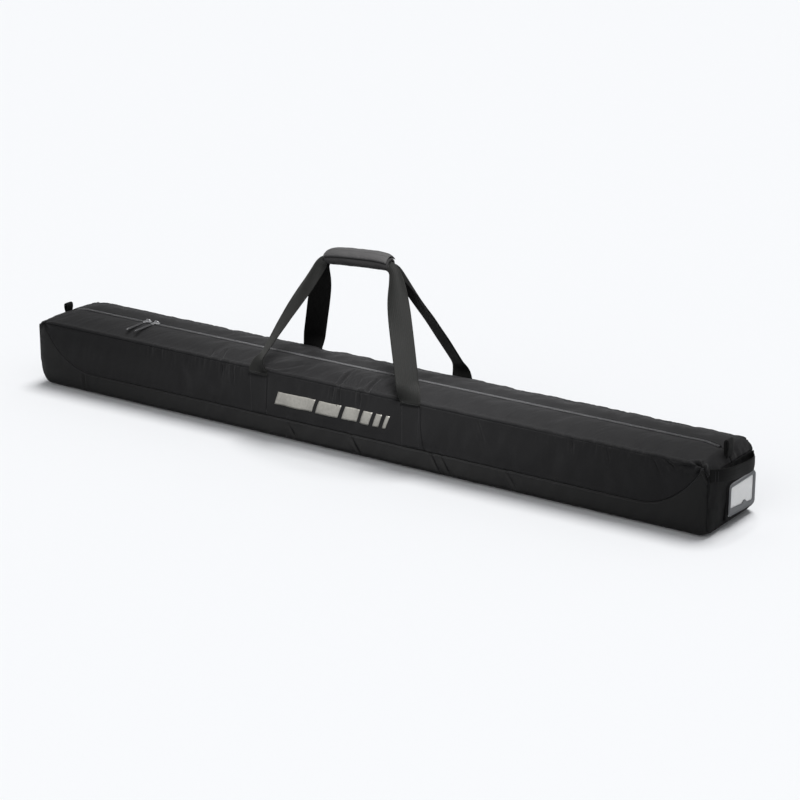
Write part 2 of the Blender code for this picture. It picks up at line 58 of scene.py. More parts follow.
def middle(node):
    """Centre of a node's box at rest."""
    low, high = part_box(node)
    return [(a + b) / 2 for a, b in zip(low, high)]


HALF_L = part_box("end_panel_right")[1][0]
HALF_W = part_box("boot_panel")[1][1]
TOP_Z = 0.1515
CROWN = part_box("top_panel_front")[1][2] - TOP_Z
ZIP_Z = TOP_Z + CROWN
FLAP_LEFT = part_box("top_panel_front")[0][0]
FLAP_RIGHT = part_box("top_panel_front")[1][0]
FLAP_MIDDLE = (FLAP_LEFT + FLAP_RIGHT) / 2
ZIP_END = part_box("zip_coil_right")[1][0]
STRAP_X = {end: middle(f"anchor_strip_front_{end}")[0] for end in ("left", "right")}
STRAP_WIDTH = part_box("anchor_strip_front_left")[1][0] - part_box("anchor_strip_front_left")[0][0]
STRAP_THICK = 0.0022
GRIP_LOW, GRIP_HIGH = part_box("grip_pad_front")
GRIP_X = (GRIP_LOW[0] + GRIP_HIGH[0]) / 2
GRIP_HALF = (GRIP_HIGH[0] - GRIP_LOW[0]) / 2
GRIP_Z = 0.408
GRIP_A, GRIP_B = 0.0190, 0.0175

# The bag's section, measured round it from the middle of the top: top, front, underside, rear, top.
SIDE_H = 0.15
S_EDGE = HALF_W
S_FOOT = S_EDGE + SIDE_H
S_FOOT_REAR = S_FOOT + 2 * HALF_W
S_EDGE_REAR = S_FOOT_REAR + SIDE_H
S_ALL = S_EDGE_REAR + HALF_W
R_TOP = 0.009
R_FOOT = 0.014

# The ends: the section shrinks as it turns the corner, by its own amount in plan, at the foot and at the top.
END_RUN = 0.028
A_STRAIGHT = HALF_L - END_RUN
A_MAX = A_STRAIGHT + 0.039
END_TURN = {-1: math.radians(80), 1: math.radians(50)}
END_REACH = {-1: 0.0276, 1: 0.0225}
END_PLAN = {-1: 0.008, 1: 0.011}
END_FOOT = {-1: 0.060, 1: 0.024}
END_TOP = {-1: 0.011, 1: 0.062}
END_BULGE = {-1: 0.0010, 1: 0.0018}
CROWN_FADE = 0.085

# Seams and cloth.
BOOT_HEIGHT = 0.048
BOOT_SWEEP_START = 0.70
BOOT_SWEEP_LENGTH = 0.16
BOOT_SWEEP_RISE = 0.10
BOOT_TOP_MOST = 0.142
BOOT_SEWN_TO = 0.845
BOOT_STITCHES_BELOW = 0.0042
SEAM_S = S_EDGE + 0.0030
ZIP_SLOT = 0.0062
SIDE_PAD = 0.0050
LID_PAD = 0.0075
CORNER_PINCH = (0.8600, S_EDGE + 0.0015)
FOOT_HOLLOW = (-0.180, 0.086)


# ---------------------------------------------------------------- materials

class Nodes:
    """One material's node tree, with short ways to add nodes to it."""

    def __init__(self, name):
        self.mat = bpy.data.materials.new(name)
        self.mat.use_nodes = True
        self.tree = self.mat.node_tree
        self.shader = self.tree.nodes["Principled BSDF"]

    def add(self, kind, **values):
        """Add a node. Each value sets an input, or a property of the node itself."""
        node = self.tree.nodes.new(kind)
        for key, value in values.items():
            if key in node.inputs:
                node.inputs[key].default_value = value
            else:
                setattr(node, key, value)
        return node

    def link(self, source, target):
        self.tree.links.new(source, target)

    def math(self, operation, *values):
        """A math node's output. Each value is a number or another node's output."""
        node = self.tree.nodes.new("ShaderNodeMath")
        node.operation = operation
        for slot, value in zip(node.inputs, values):
            if isinstance(value, bpy.types.NodeSocket):
                self.link(value, slot)
            else:
                slot.default_value = value
        return node.outputs[0]

    def noise(self, scale, detail=4.0):
        """Noise over the piece's own coordinates."""
        node = self.add("ShaderNodeTexNoise", Scale=scale, Detail=detail)
        self.link(self.add("ShaderNodeTexCoord").outputs["Object"], node.inputs["Vector"])
        return node.outputs[0]

    def uv(self):
        """Across and along outputs of the UV map, which is in metres."""
        split = self.add("ShaderNodeSeparateXYZ")
        self.link(self.add("ShaderNodeUVMap").outputs[0], split.inputs[0])
        return split.outputs[0], split.outputs[1]

    def ripple(self, coordinate, pitch):
        """A wave between 0 and 1 that repeats every pitch metres."""
        wave = self.math("SINE", self.math("MULTIPLY", coordinate, 2 * math.pi / pitch))
        return self.math("MULTIPLY_ADD", wave, 0.5, 0.5)

    def colour(self, factor, low, high):
        """Base colour that runs from low to high with factor."""
        mix = self.add("ShaderNodeMix", data_type="RGBA")
        self.link(factor, mix.inputs[0])
        mix.inputs[6].default_value = (*low, 1.0)
        mix.inputs[7].default_value = (*high, 1.0)
        self.link(mix.outputs[2], self.shader.inputs["Base Color"])

    def rough(self, factor, level, spread):
        """Roughness about a level, varied by factor."""
        value = self.math("MULTIPLY_ADD", factor, spread, level - spread / 2)
        self.link(value, self.shader.inputs["Roughness"])

    def bump(self, height, strength, distance):
        node = self.add("ShaderNodeBump", Strength=strength, Distance=distance)
        self.link(height, node.inputs["Height"])
        self.link(node.outputs[0], self.shader.inputs["Normal"])

    def set(self, **values):
        """Set inputs of the shader. Underscores in the names stand for spaces."""
        for key, value in values.items():
            self.shader.inputs[key.replace("_", " ")].default_value = value


DYE = 0.38


def dyed(colour):
    """A cloth colour taken down by the black dye that every cloth shares."""
    return tuple(DYE * part for part in colour)


def woven(name, dark, light, pitch, roughness, sheen, strength=0.35):
    """Plain-woven cloth, with uneven dye, slubs in the thread and a soft sheen."""
    n = Nodes(name)
    across, along = n.uv()
    warp = n.ripple(across, pitch)
    weft = n.ripple(along, pitch)
    over = n.math("MULTIPLY", warp, weft)
    under = n.math("MULTIPLY", n.math("SUBTRACT", 1.0, warp), n.math("SUBTRACT", 1.0, weft))
    weave = n.math("ADD", over, under)
    cloud = n.noise(9.0, 5.0)
    slub = n.noise(420.0, 2.0)
    tone = n.math("MULTIPLY_ADD", cloud, 0.55, n.math("MULTIPLY", slub, 0.30))
    n.colour(n.math("MULTIPLY_ADD", weave, 0.20, tone), dyed(dark), dyed(light))
    n.rough(cloud, roughness, 0.16)
    n.bump(n.math("MULTIPLY_ADD", slub, 0.6, weave), strength, 0.0004)
    n.set(Sheen_Weight=DYE * sheen, Sheen_Roughness=0.5, Sheen_Tint=(0.62, 0.61, 0.62, 1.0))
    n.set(Specular_IOR_Level=0.10)
    return n.mat


def ribbed(name, dark, light, roughness, sheen):
    """Webbing: chevron ribs across the strap and fine rows along it."""
    n = Nodes(name)
    across, along = n.uv()
    fold = n.math("FRACT", n.math("MULTIPLY", across, 125.0))
    fold = n.math("ABSOLUTE", n.math("SUBTRACT", fold, 0.5))
    rib = n.ripple(n.math("MULTIPLY_ADD", fold, 0.004, along), 0.0026)
    height = n.math("MULTIPLY_ADD", n.ripple(across, 0.004), 0.6, rib)
    cloud = n.noise(35.0)
    n.colour(n.math("MULTIPLY_ADD", height, 0.35, n.math("MULTIPLY", cloud, 0.45)), dyed(dark), dyed(light))
    n.rough(cloud, roughness, 0.2)
    n.bump(height, 0.5, 0.0005)
    n.set(Sheen_Weight=DYE * sheen, Sheen_Roughness=0.45, Sheen_Tint=(0.62, 0.62, 0.58, 1.0))
    n.set(Specular_IOR_Level=0.12)
    return n.mat


def moulded(name, dark, light, roughness, metallic=0.0, scale=60.0, strength=0.1, coat=0.0):
    """Moulded plastic, metal, thread or print, with a slight grain and uneven polish."""
    n = Nodes(name)
    grain = n.noise(scale, 5.0)
    n.colour(grain, dark, light)
    n.rough(grain, roughness, 0.2)
    n.bump(grain, strength, 0.0003)
    n.set(Metallic=metallic, Coat_Weight=coat, Coat_Roughness=0.15)
    return n.mat


def clear_film():
    """Clear plastic sheet that is not quite flat."""
    n = Nodes("clear_film")
    wave = n.noise(28.0, 2.0)
    n.colour(wave, (0.86, 0.87, 0.88), (0.95, 0.95, 0.96))
    n.bump(wave, 0.4, 0.0006)
    n.set(Roughness=0.10, Alpha=0.16, Coat_Weight=0.6, Coat_Roughness=0.08)
    return n.mat


MATS = {
    "shell": woven("shell_cloth", (0.0085, 0.0085, 0.0090), (0.0210, 0.0208, 0.0220), 0.0015, 0.62, 0.26),
    "boot": woven("boot_cloth", (0.0125, 0.0125, 0.0126), (0.0300, 0.0300, 0.0298), 0.0021, 0.55, 0.24, 0.5),
    "lining": woven("lining_cloth", (0.090, 0.091, 0.095), (0.170, 0.170, 0.178), 0.0012, 0.6, 0.15, 0.3),
    "tape": woven("zip_tape_cloth", (0.006, 0.006, 0.007), (0.016, 0.016, 0.017), 0.0010, 0.75, 0.1, 0.6),
    # The lid's cloth is the shell cloth made about a third lighter: painted light on the top, which faces the
    # high light.
    "lid": woven("lid_cloth_painted_light", (0.0115, 0.0114, 0.0120), (0.0285, 0.0282, 0.0296), 0.0015, 0.62, 0.28),
    # The end panels' cloth is the shell cloth made much darker, with less sheen: painted shade, for the ends
    # that get the least light.
    "end": woven("end_cloth_painted_shade", (0.0036, 0.0036, 0.0037), (0.0090, 0.0090, 0.0093), 0.0015, 0.7, 0.05),
    "wrap": woven("wrap_cloth", (0.076, 0.074, 0.075), (0.140, 0.137, 0.138), 0.0016, 0.6, 0.26, 0.45),
    # The grip pads' cloth is the wrap cloth made darker, with less sheen: painted shade where the pads show
    # below the flap.
    "wrap_pad": woven("wrap_pad_cloth_painted_shade", (0.034, 0.033, 0.034), (0.068, 0.066, 0.067),
                      0.0016, 0.6, 0.14, 0.45),
    "webbing": ribbed("webbing_weave", (0.0110, 0.0112, 0.0106), (0.0345, 0.0350, 0.0330), 0.68, 0.13),
    # The rear loop's webbing is the front webbing made about three times darker: painted shade on faces
    # turned from the light.
    "webbing_rear_shaded": ribbed("rear_webbing_painted_shade", (0.0034, 0.0034, 0.0033), (0.0105, 0.0105, 0.0100),
                           0.70, 0.06),
    "strip": ribbed("strip_weave", (0.0080, 0.0080, 0.0082), (0.0190, 0.0190, 0.0195), 0.70, 0.16),
    # The haul handle's webbing is the webbing made much darker: painted shade at the dimly lit right end.
    "haul": ribbed("haul_weave_painted_shade", (0.0024, 0.0024, 0.0025), (0.0078, 0.0078, 0.0080), 0.70, 0.05),
    "thread": moulded("thread", (0.008, 0.008, 0.009), (0.024, 0.024, 0.026), 0.6, scale=900.0),
    # The coil's colour is light grey, though it is dark nylon: a painted highlight for the bright line along
    # the zip.
    "coil": moulded("zip_coil_painted_highlight", (0.055, 0.055, 0.057), (0.120, 0.120, 0.123), 0.30, scale=300.0),
    "rubber": moulded("pull_rubber_black", (0.012, 0.012, 0.013), (0.034, 0.034, 0.036), 0.38, scale=300.0),
    "metal": moulded("slider_metal", (0.26, 0.26, 0.27), (0.50, 0.50, 0.51), 0.28, 0.45, 180.0, 0.15),
    "pull": moulded("pull_bright_metal", (0.06, 0.06, 0.062), (0.14, 0.14, 0.145),
                    0.28, 0.55, 140.0, 0.12, 0.3),
    "rim": woven("rim_tape", (0.32, 0.33, 0.35), (0.60, 0.61, 0.63), 0.0012, 0.6, 0.1, 0.5),
    "card": moulded("paper_card", (0.86, 0.86, 0.85), (0.95, 0.95, 0.94), 0.7, scale=90.0, strength=0.05),
    "silver": moulded("silver_print", (0.185, 0.180, 0.163), (0.335, 0.324, 0.297), 0.40, 0.4, 220.0, 0.35),
    "pile": moulded("hook_pile", (0.008, 0.008, 0.008), (0.04, 0.04, 0.04), 0.95, scale=1400.0, strength=0.9),
    "film": clear_film(),
}


# ---------------------------------------------------------------- the bag's surface

def boot_top(x):
    """Height of the boot panel's upper seam along the bag."""
    reach = np.maximum(0.0, np.abs(x) - BOOT_SWEEP_START) / BOOT_SWEEP_LENGTH
    return np.minimum(BOOT_HEIGHT + BOOT_SWEEP_RISE * reach ** 2.5, BOOT_TOP_MOST)


def side_s(z):
    """Place round the section of a height on the front side."""
    return S_EDGE + (1 - z / TOP_Z) * SIDE_H


def mirrored(s, side):
    """The same place on the front or on the rear half of the section."""
    return s if side == "front" else S_ALL - s


def by_end(a, table):
    """Pick the left or right value of an end's size for each place along the bag."""
    return np.where(a < 0, table[-1], table[1])


def coords(*parts):
    """Points or UV places from their coordinates, spread to one shape."""
    return np.stack(np.broadcast_arrays(*parts), -1)


def grid(rows, columns):
    """Two arrays that hold each row's and each column's value over a grid."""
    return np.meshgrid(rows, columns, indexing="ij")


def pair(a, s):
    """Two values as arrays of one shape."""
    return np.broadcast_arrays(np.asarray(a, float), np.asarray(s, float))


def quads(n, m, closed):
    """Faces of a grid of n rows and m columns. closed joins its last column to its first."""
    i, j = grid(np.arange(n - 1), np.arange(m if closed else m - 1))
    k = (j + 1) % m
    return coords(i * m + j, i * m + k, (i + 1) * m + k, (i + 1) * m + j).reshape(-1, 4).tolist()


def smooth(share):
    """Ease from 0 to 1."""
    share = np.clip(share, 0, 1)
    return share * share * (3 - 2 * share)


def crown(a, s):
    """How far the padded top stands up at a place, most at the zip and nothing at its edges and ends."""
    share = np.clip(1 - np.minimum(s, S_ALL - s) / S_EDGE, 0, 1)
    bulge = 0.5 * smooth(share) + 0.5 * np.sin(np.pi / 2 * share)
    return CROWN * bulge * smooth((A_MAX - np.abs(a)) / CROWN_FADE)


def seam_show(a):
    """How sharply the boot seam shows: faint at the left end, where the padding fills it out."""
    return 0.35 + 0.65 * smooth((a + 0.74) / 0.16)


def edge_show(a):
    """How sharply the top edge seam shows: it sinks into soft puckers towards the right end."""
    return 1 - 0.75 * smooth((a - 0.36) / 0.16)


def along_at(x):
    """Place along the bag whose surface lies at x, also where the bag turns its end."""
    last = by_end(x, END_TURN)
    share = np.clip((np.abs(x) - A_STRAIGHT) / by_end(x, END_REACH), 0, 1)
    turn = np.arcsin(share * np.sin(last))
    return np.sign(x) * (np.minimum(np.abs(x), A_STRAIGHT) + turn / last * (A_MAX - A_STRAIGHT))


def base_surface(a, s):
    """Undisturbed surface. a runs along the bag and round its ends, s round its section."""
    a, s = pair(a, np.mod(s, S_ALL))
    last = by_end(a, END_TURN)
    turn = last * np.maximum(0.0, np.abs(a) - A_STRAIGHT) / (A_MAX - A_STRAIGHT)
    reach = by_end(a, END_REACH) * np.sin(turn) / np.sin(last)
    x = np.sign(a) * (np.minimum(np.abs(a), A_STRAIGHT) + reach)
    shrink = 1 - np.cos(turn)
    spans = [s < S_EDGE, s < S_FOOT, s < S_FOOT_REAR, s < S_EDGE_REAR]
    y = np.select(spans, [-s, -HALF_W, s - S_FOOT - HALF_W, HALF_W], S_ALL - s)
    z = TOP_Z * np.select(spans, [1.0, 1 - (s - S_EDGE) / SIDE_H, 0.0, (s - S_FOOT_REAR) / SIDE_H], 1.0)
    radius = np.where(z > TOP_Z / 2, R_TOP, R_FOOT)
    core_y = np.clip(y, -HALF_W + radius, HALF_W - radius)
    core_z = np.clip(z, radius, TOP_Z - radius)
    length = np.maximum(np.hypot(y - core_y, z - core_z), 1e-9)
    reach = np.minimum(length, radius) / length
    y = core_y + (y - core_y) * reach
    z = core_z + (z - core_z) * reach
    z = z + crown(a, s)
    y = y * (1 - by_end(a, END_PLAN) * shrink / HALF_W)
    low = by_end(a, END_FOOT) * shrink
    high = TOP_Z - by_end(a, END_TOP) * shrink
    return coords(x, y, low + z / TOP_Z * (high - low))


CELL = 0.010
ROWS = int(round(2 * A_MAX / CELL))
COLS = int(round(S_ALL / CELL))
TOP_CELLS = int(round(2 * HALF_W / CELL))
SIDE_CELLS = int(round(SIDE_H / CELL))
GRID_A = np.linspace(-A_MAX, A_MAX, ROWS + 1)
GRID_S = np.arange(COLS) * CELL


def end_patch(ring):
    """Fill one end of the bag from its last ring. Returns points over y, then over z."""
    half = TOP_CELLS // 2

    def stretch(start, count):
        return ring[np.arange(start, start + count + 1) % COLS]

    top = stretch(-half, TOP_CELLS)[::-1]
    front = stretch(half, SIDE_CELLS)[::-1]
    foot = stretch(half + SIDE_CELLS, TOP_CELLS)
    rear = stretch(half + SIDE_CELLS + TOP_CELLS, SIDE_CELLS)
    u = np.linspace(0, 1, TOP_CELLS + 1)[:, None, None]
    v = np.linspace(0, 1, SIDE_CELLS + 1)[None, :, None]
    edges = (1 - v) * foot[:, None] + v * top[:, None] + (1 - u) * front[None] + u * rear[None]
    corners = (1 - u) * ((1 - v) * foot[0] + v * top[0]) + u * ((1 - v) * foot[-1] + v * top[-1])
    return edges - corners


def sim_mesh():
    """Closed mesh of the whole bag for the cloth: its points, faces and the ends' point numbers."""
    tube = base_surface(GRID_A[:, None], GRID_S[None])
    points = list(tube.reshape(-1, 3))
    faces = quads(ROWS + 1, COLS, True)
    caps = {}
    for sign, row in ((-1, 0), (1, ROWS)):
        patch = end_patch(tube[row])
        index = np.empty(patch.shape[:2], int)
        for i in range(TOP_CELLS + 1):
            for j in range(SIDE_CELLS + 1):
                if 0 < i < TOP_CELLS and 0 < j < SIDE_CELLS:
                    index[i, j] = len(points)
                    points.append(patch[i, j])
                else:
                    gap = np.abs(tube[row] - patch[i, j]).sum(1)
                    index[i, j] = row * COLS + gap.argmin()
        for i in range(TOP_CELLS):
            for j in range(SIDE_CELLS):
                quad = [index[i, j], index[i + 1, j], index[i + 1, j + 1], index[i, j + 1]]
                faces.append(tuple(int(corner) for corner in quad[::sign]))
        caps[sign] = index
    return np.array(points), faces, caps


def held_weights(points):
    """How firmly the seams, the foot, the zip and the strap anchors hold each point."""
    tube = (ROWS + 1) * COLS
    s = np.tile(GRID_S, ROWS + 1)
    x, z = points[:tube, 0], points[:tube, 2]
    on_side = ((s > S_EDGE) & (s < S_FOOT)) | ((s > S_FOOT_REAR) & (s < S_EDGE_REAR))
    on_foot = (s > S_FOOT - CELL / 2) & (s < S_FOOT_REAR + CELL / 2)
    edge = np.minimum(np.abs(s - S_EDGE), np.abs(s - S_EDGE_REAR)) < CELL / 2
    zip_line = np.minimum(s, S_ALL - s) < CELL / 2
    boot_seam = on_side & (np.abs(z - boot_top(x)) < 0.6 * CELL)
    rings = np.repeat(np.abs(GRID_A) > A_MAX - CELL / 2, COLS)
    weight = np.zeros(len(points))
    rules = [(edge, 0.9), (zip_line, 1.0), (on_foot, 1.0), (boot_seam, 0.55), (rings, 1.0)]
    for strap in STRAP_X.values():
        anchored = on_side & (np.abs(x - strap) < STRAP_WIDTH / 2) & (z > BOOT_HEIGHT)
        rules.append((anchored, 0.7))
    for where, value in rules:
        weight[:tube] = np.where(where, np.maximum(weight[:tube], value), weight[:tube])
    return weight


CLOTH = {"quality": 6, "mass": 0.25, "tension_stiffness": 25, "compression_stiffness": 8,
         "shear_stiffness": 8, "bending_stiffness": 1.2, "use_pressure": True, "uniform_pressure_force": 1.4,
         "vertex_group_mass": "held", "pin_stiffness": 4.0, "shrink_min": -0.012, "shrink_max": -0.012}
CLOTH_FRAMES = 20


def simulate(points, faces):
    """Puff the shell out as cloth between the places that hold it. Returns its new points."""
    mesh = bpy.data.meshes.new("shell_cloth_run")
    mesh.from_pydata([tuple(point) for point in points], [], faces)
    obj = link("shell_cloth_run", mesh)
    group = obj.vertex_groups.new(name="held")
    for index, value in enumerate(held_weights(points)):
        if value > 0:
            group.add([index], float(value), "REPLACE")
    cloth = obj.modifiers.new("cloth", "CLOTH")
    for key, value in CLOTH.items():
        setattr(cloth.settings, key, value)
    cloth.settings.effector_weights.gravity = 0.0
    cloth.point_cache.frame_start = 1
    cloth.point_cache.frame_end = CLOTH_FRAMES
    for step in range(1, CLOTH_FRAMES + 1):
        bpy.context.scene.frame_set(step)
    evaluated = obj.evaluated_get(bpy.context.evaluated_depsgraph_get())
    result = np.empty(len(points) * 3)
    evaluated.data.vertices.foreach_get("co", result)
    bpy.context.scene.frame_set(1)
    bpy.data.objects.remove(obj, do_unlink=True)
    return result.reshape(-1, 3)


def blurred_along(field):
    """Blur a field of shifts a little along the bag."""
    soft = field.copy()
    soft[1:-1] = 0.25 * field[:-2] + 0.5 * field[1:-1] + 0.25 * field[2:]
    return soft


def blurred(field):
    """Blur a field of shifts a little along and round the bag."""
    soft = blurred_along(field)
    return 0.25 * np.roll(soft, 1, 1) + 0.5 * soft + 0.25 * np.roll(soft, -1, 1)


def levelled(field):
    """Smooth a field of shifts along the bag only, so that slow waves go and the seams stay."""
    for _ in range(40):
        field = blurred_along(field)
    return field


def cubic(t):
    """Catmull-Rom weights of four neighbours."""
    return [0.5 * (-t ** 3 + 2 * t ** 2 - t), 0.5 * (3 * t ** 3 - 5 * t ** 2 + 2),
            0.5 * (-3 * t ** 3 + 4 * t ** 2 + t), 0.5 * (t ** 3 - t ** 2)]


def read_field(field, u, v, wrap):
    """Read a field smoothly at grid places u, v. Its second direction may wrap round."""
    i = np.clip(np.floor(u).astype(int), 0, field.shape[0] - 2)
    j = np.floor(v).astype(int)
    if not wrap:
        j = np.clip(j, 0, field.shape[1] - 2)
    total = 0.0
    for p, along in enumerate(cubic(u - i)):
        row = np.clip(i + p - 1, 0, field.shape[0] - 1)
        for q, across in enumerate(cubic(v - j)):
            col = (j + q - 1) % field.shape[1] if wrap else np.clip(j + q - 1, 0, field.shape[1] - 1)
            total = total + (along * across)[..., None] * field[row, col]
    return total


def unit(vectors):
    return vectors / np.maximum(np.linalg.norm(vectors, axis=-1, keepdims=True), 1e-12)


class Shell:
    """The bag's puffed surface, as functions from which every sewn piece is cut."""

    LARGEST_PUFF = 0.0070
    END_PUFF = 0.45
    CALM_FROM = -0.42

    def __init__(self):
        points, faces, caps = sim_mesh()
        moved = simulate(points, faces)
        shift = moved - points
        length = np.linalg.norm(shift, axis=1, keepdims=True)
        shift = shift * np.minimum(1.0, self.LARGEST_PUFF / np.maximum(length, 1e-9))
        tube = (ROWS + 1) * COLS
        field = blurred(shift[:tube].reshape(ROWS + 1, COLS, 3))
        calm = smooth((self.CALM_FROM - GRID_A) / 0.10)[:, None, None]
        field = field * (1 - calm) + levelled(field) * calm
        from_zip = np.minimum(GRID_S, S_ALL - GRID_S)
        self.field = field * (1 - np.exp(-(from_zip / 0.015) ** 2))[None, :, None]
        self.caps = {sign: points[index] + shift[index] * self.END_PUFF for sign, index in caps.items()}

    def flat(self, a, s):
        """Puffed surface without its fine wrinkles."""
        a, s = pair(a, s)
        u = (a + A_MAX) / (2 * A_MAX) * ROWS
        v = np.mod(s, S_ALL) / CELL
        return base_surface(a, s) + read_field(self.field, u, v, True)

    def normal(self, a, s, step=0.004):
        """Outward direction of the puffed surface."""
        a, s = pair(a, s)
        along = self.flat(a + step, s) - self.flat(a - step, s)
        across = self.flat(a, s + step) - self.flat(a, s - step)
        return unit(np.cross(across, along))

    def at(self, a, s, lift=0.0):
        """Finished surface with its wrinkles and puckers, raised by lift."""
        height = wrinkles(*pair(a, s)) + lift
        return self.flat(a, s) + self.normal(a, s) * height[..., None]

    def end(self, sign, u, v):
        """Puffed surface of an end panel. u and v run from 0 to 1 across and up it."""
        u, v = pair(u, v)
        patch = read_field(self.caps[sign], u * TOP_CELLS, v * SIDE_CELLS, False)
        rim = np.minimum(np.minimum(u, 1 - u) * 2 * HALF_W, np.minimum(v, 1 - v) * SIDE_H)
        pucker = fbm(u * 0.2 + 7 * sign, v * 0.15, 0.012, 0.030, 2) * 0.0012 * np.exp(-rim / 0.012)
        soft = fbm(u * 0.2 + 3 * sign, v * 0.15, 0.06, 0.05) * 0.0014
        patch[..., 0] += sign * (pucker + soft) * np.clip(rim / 0.004, 0, 1)
        patch[..., 0] += sign * END_BULGE[sign] * np.sqrt(np.clip(rim / 0.030, 0, 1))
        return patch

    def end_x(self, y, z, lift=0.0):
        """Points at a place (y, z) on the right end panel, raised by lift."""
        ring = self.caps[1]
        u = (np.asarray(y, float) - ring[0, 8, 1]) / (ring[-1, 8, 1] - ring[0, 8, 1])
        v = (np.asarray(z, float) - ring[10, 0, 2]) / (ring[10, -1, 2] - ring[10, 0, 2])
        x = self.end(1, np.clip(u, 0, 1), np.clip(v, 0, 1))[..., 0] + lift
        return coords(x, y, z)


def fbm(a, b, size_a, size_b, octaves=3, seed=0.0):
    """Smooth seeded noise, about -1 to 1, stretched by two sizes."""
    a, b = np.broadcast_arrays(a, b)
    values = [noise.fractal(Vector((p, q, seed)), 0.9, 2.0, octaves)
              for p, q in zip(a.ravel() / size_a, b.ravel() / size_b)]
    return np.array(values).reshape(a.shape)


def crease(a, s, start, end, depth, width):
    """A pressed-in fold between two places, with a soft ridge on each side."""
    da, ds = end[0] - start[0], end[1] - start[1]
    t = np.clip(((a - start[0]) * da + (s - start[1]) * ds) / (da * da + ds * ds), 0, 1)
    gap = np.hypot(a - start[0] - t * da, s - start[1] - t * ds)
    fade = np.sin(np.pi * np.clip(t, 0.04, 0.96)) ** 0.5
    ridge = 0.45 * np.exp(-((gap - 2.1 * width) / (1.3 * width)) ** 2)
    return depth * fade * (ridge - np.exp(-(gap / width) ** 2))


# The folds that stand out: (along, round) where each starts and ends, its depth and its width.
CREASES = [
    ((-0.738, 0.207), (-0.736, 0.236), 0.0026, 0.0028),
    ((-0.150, 0.212), (-0.132, 0.238), 0.0024, 0.0030),
    ((0.016, 0.206), (0.040, 0.242), 0.0034, 0.0030),
    ((0.220, 0.205), (0.242, 0.240), 0.0032, 0.0030),
    ((0.246, 0.205), (0.268, 0.240), 0.0030, 0.0030),
    ((0.405, 0.204), (0.432, 0.240), 0.0024, 0.0034),
    ((-0.032, 0.107), (-0.033, 0.136), 0.0036, 0.0026),
    ((-0.013, 0.106), (-0.014, 0.142), 0.0040, 0.0026),
    ((0.039, 0.106), (0.040, 0.134), 0.0040, 0.0028),
    ((-0.019, 0.100), (-0.027, 0.026), 0.0044, 0.0032),
    ((0.057, 0.100), (0.046, 0.033), 0.0042, 0.0032),
    ((0.020, 0.092), (0.010, 0.052), 0.0018, 0.0050),
    ((-0.205, 0.086), (-0.150, 0.052), 0.0030, 0.0060),
    ((-0.340, 0.096), (-0.350, 0.062), 0.0024, 0.0036),
    ((-0.372, 0.094), (-0.384, 0.066), 0.0020, 0.0036),
    ((-0.302, 0.108), (-0.298, 0.142), 0.0026, 0.0028),
    ((-0.334, 0.107), (-0.332, 0.132), 0.0026, 0.0028),
    ((0.335, 0.108), (0.356, 0.150), 0.0018, 0.0036),
    ((0.560, 0.106), (0.566, 0.132), 0.0026, 0.0028),
    ((0.640, 0.106), (0.650, 0.134), 0.0024, 0.0028),
    ((0.744, 0.106), (0.766, 0.140), 0.0024, 0.0030),
    ((0.770, 0.104), (0.800, 0.120), 0.0024, 0.0030),
    ((0.834, 0.094), (0.868, 0.103), 0.0080, 0.0036),
    ((0.850, 0.086), (0.876, 0.114), 0.0080, 0.0036),
    ((0.858, 0.102), (0.842, 0.122), 0.0040, 0.0028),
    ((0.800, 0.112), (0.846, 0.104), 0.0026, 0.0030),
]

# Folds at least this deep are the front's own: the others come back, turned end for end, on the rear.
FRONT_ONLY = 0.0038
FRONT_DEPTH, REAR_DEPTH = 1.3, 0.5
REAR_TURN = 0.06

# Stretches along the bag where the top edge seam gathers the cloth most.
GATHERED = [(-0.55, -0.20), (-0.04, 0.07), (0.46, 0.86)]


def gathering(a):
    """How strongly the top edge seam gathers the cloth at a place along the bag."""
    total = 0.12
    for low, high in GATHERED:
        total = total + 0.88 * smooth((a - low) / 0.05 + 0.5) * smooth((high - a) / 0.05 + 0.5)
    return total


# Folds made of noise: their size along the bag and round it, octaves and seed.
SLOW_WAVES = (0.16, 0.07, 3, 1.5)
FINE_WAVES = (0.030, 0.10, 3, 4.5)
EDGE_GATHERS = (0.0085, 0.060, 2, 9.5)
BOOT_PUCKERS = (0.012, 0.05, 2, 14.5)
END_PUCKERS = (0.05, 0.009, 2, 24.5)
SEAM_HALF = 0.0016
REAR_NOISE_SHIFT = 11.3
SLOW_HEIGHT = 0.0009
FINE_HEIGHT_SIDE, FINE_HEIGHT_TOP = 0.0006, 0.0013
GATHER_HEIGHT, GATHER_HEIGHT_REAR = 0.0030, 0.0013
BOOT_PUCKER_HEIGHT = 0.0009
END_PUCKER_HEIGHT = 0.0012
BOOT_SEAM_DEPTH = 0.0009
EDGE_SEAM_DEPTH = 0.0010
END_SEAM_DEPTH = 0.0022
PINCH_DEPTH, PINCH_RAYS, PINCH_REACH = 0.0048, 0.0026, 0.014
HOLLOW_DEPTH, HOLLOW_REACH = 0.0032, 0.018
ROLL_HEIGHT, ROLL_HALF, ROLL_ABOVE = 0.0013, 0.0045, 0.0065


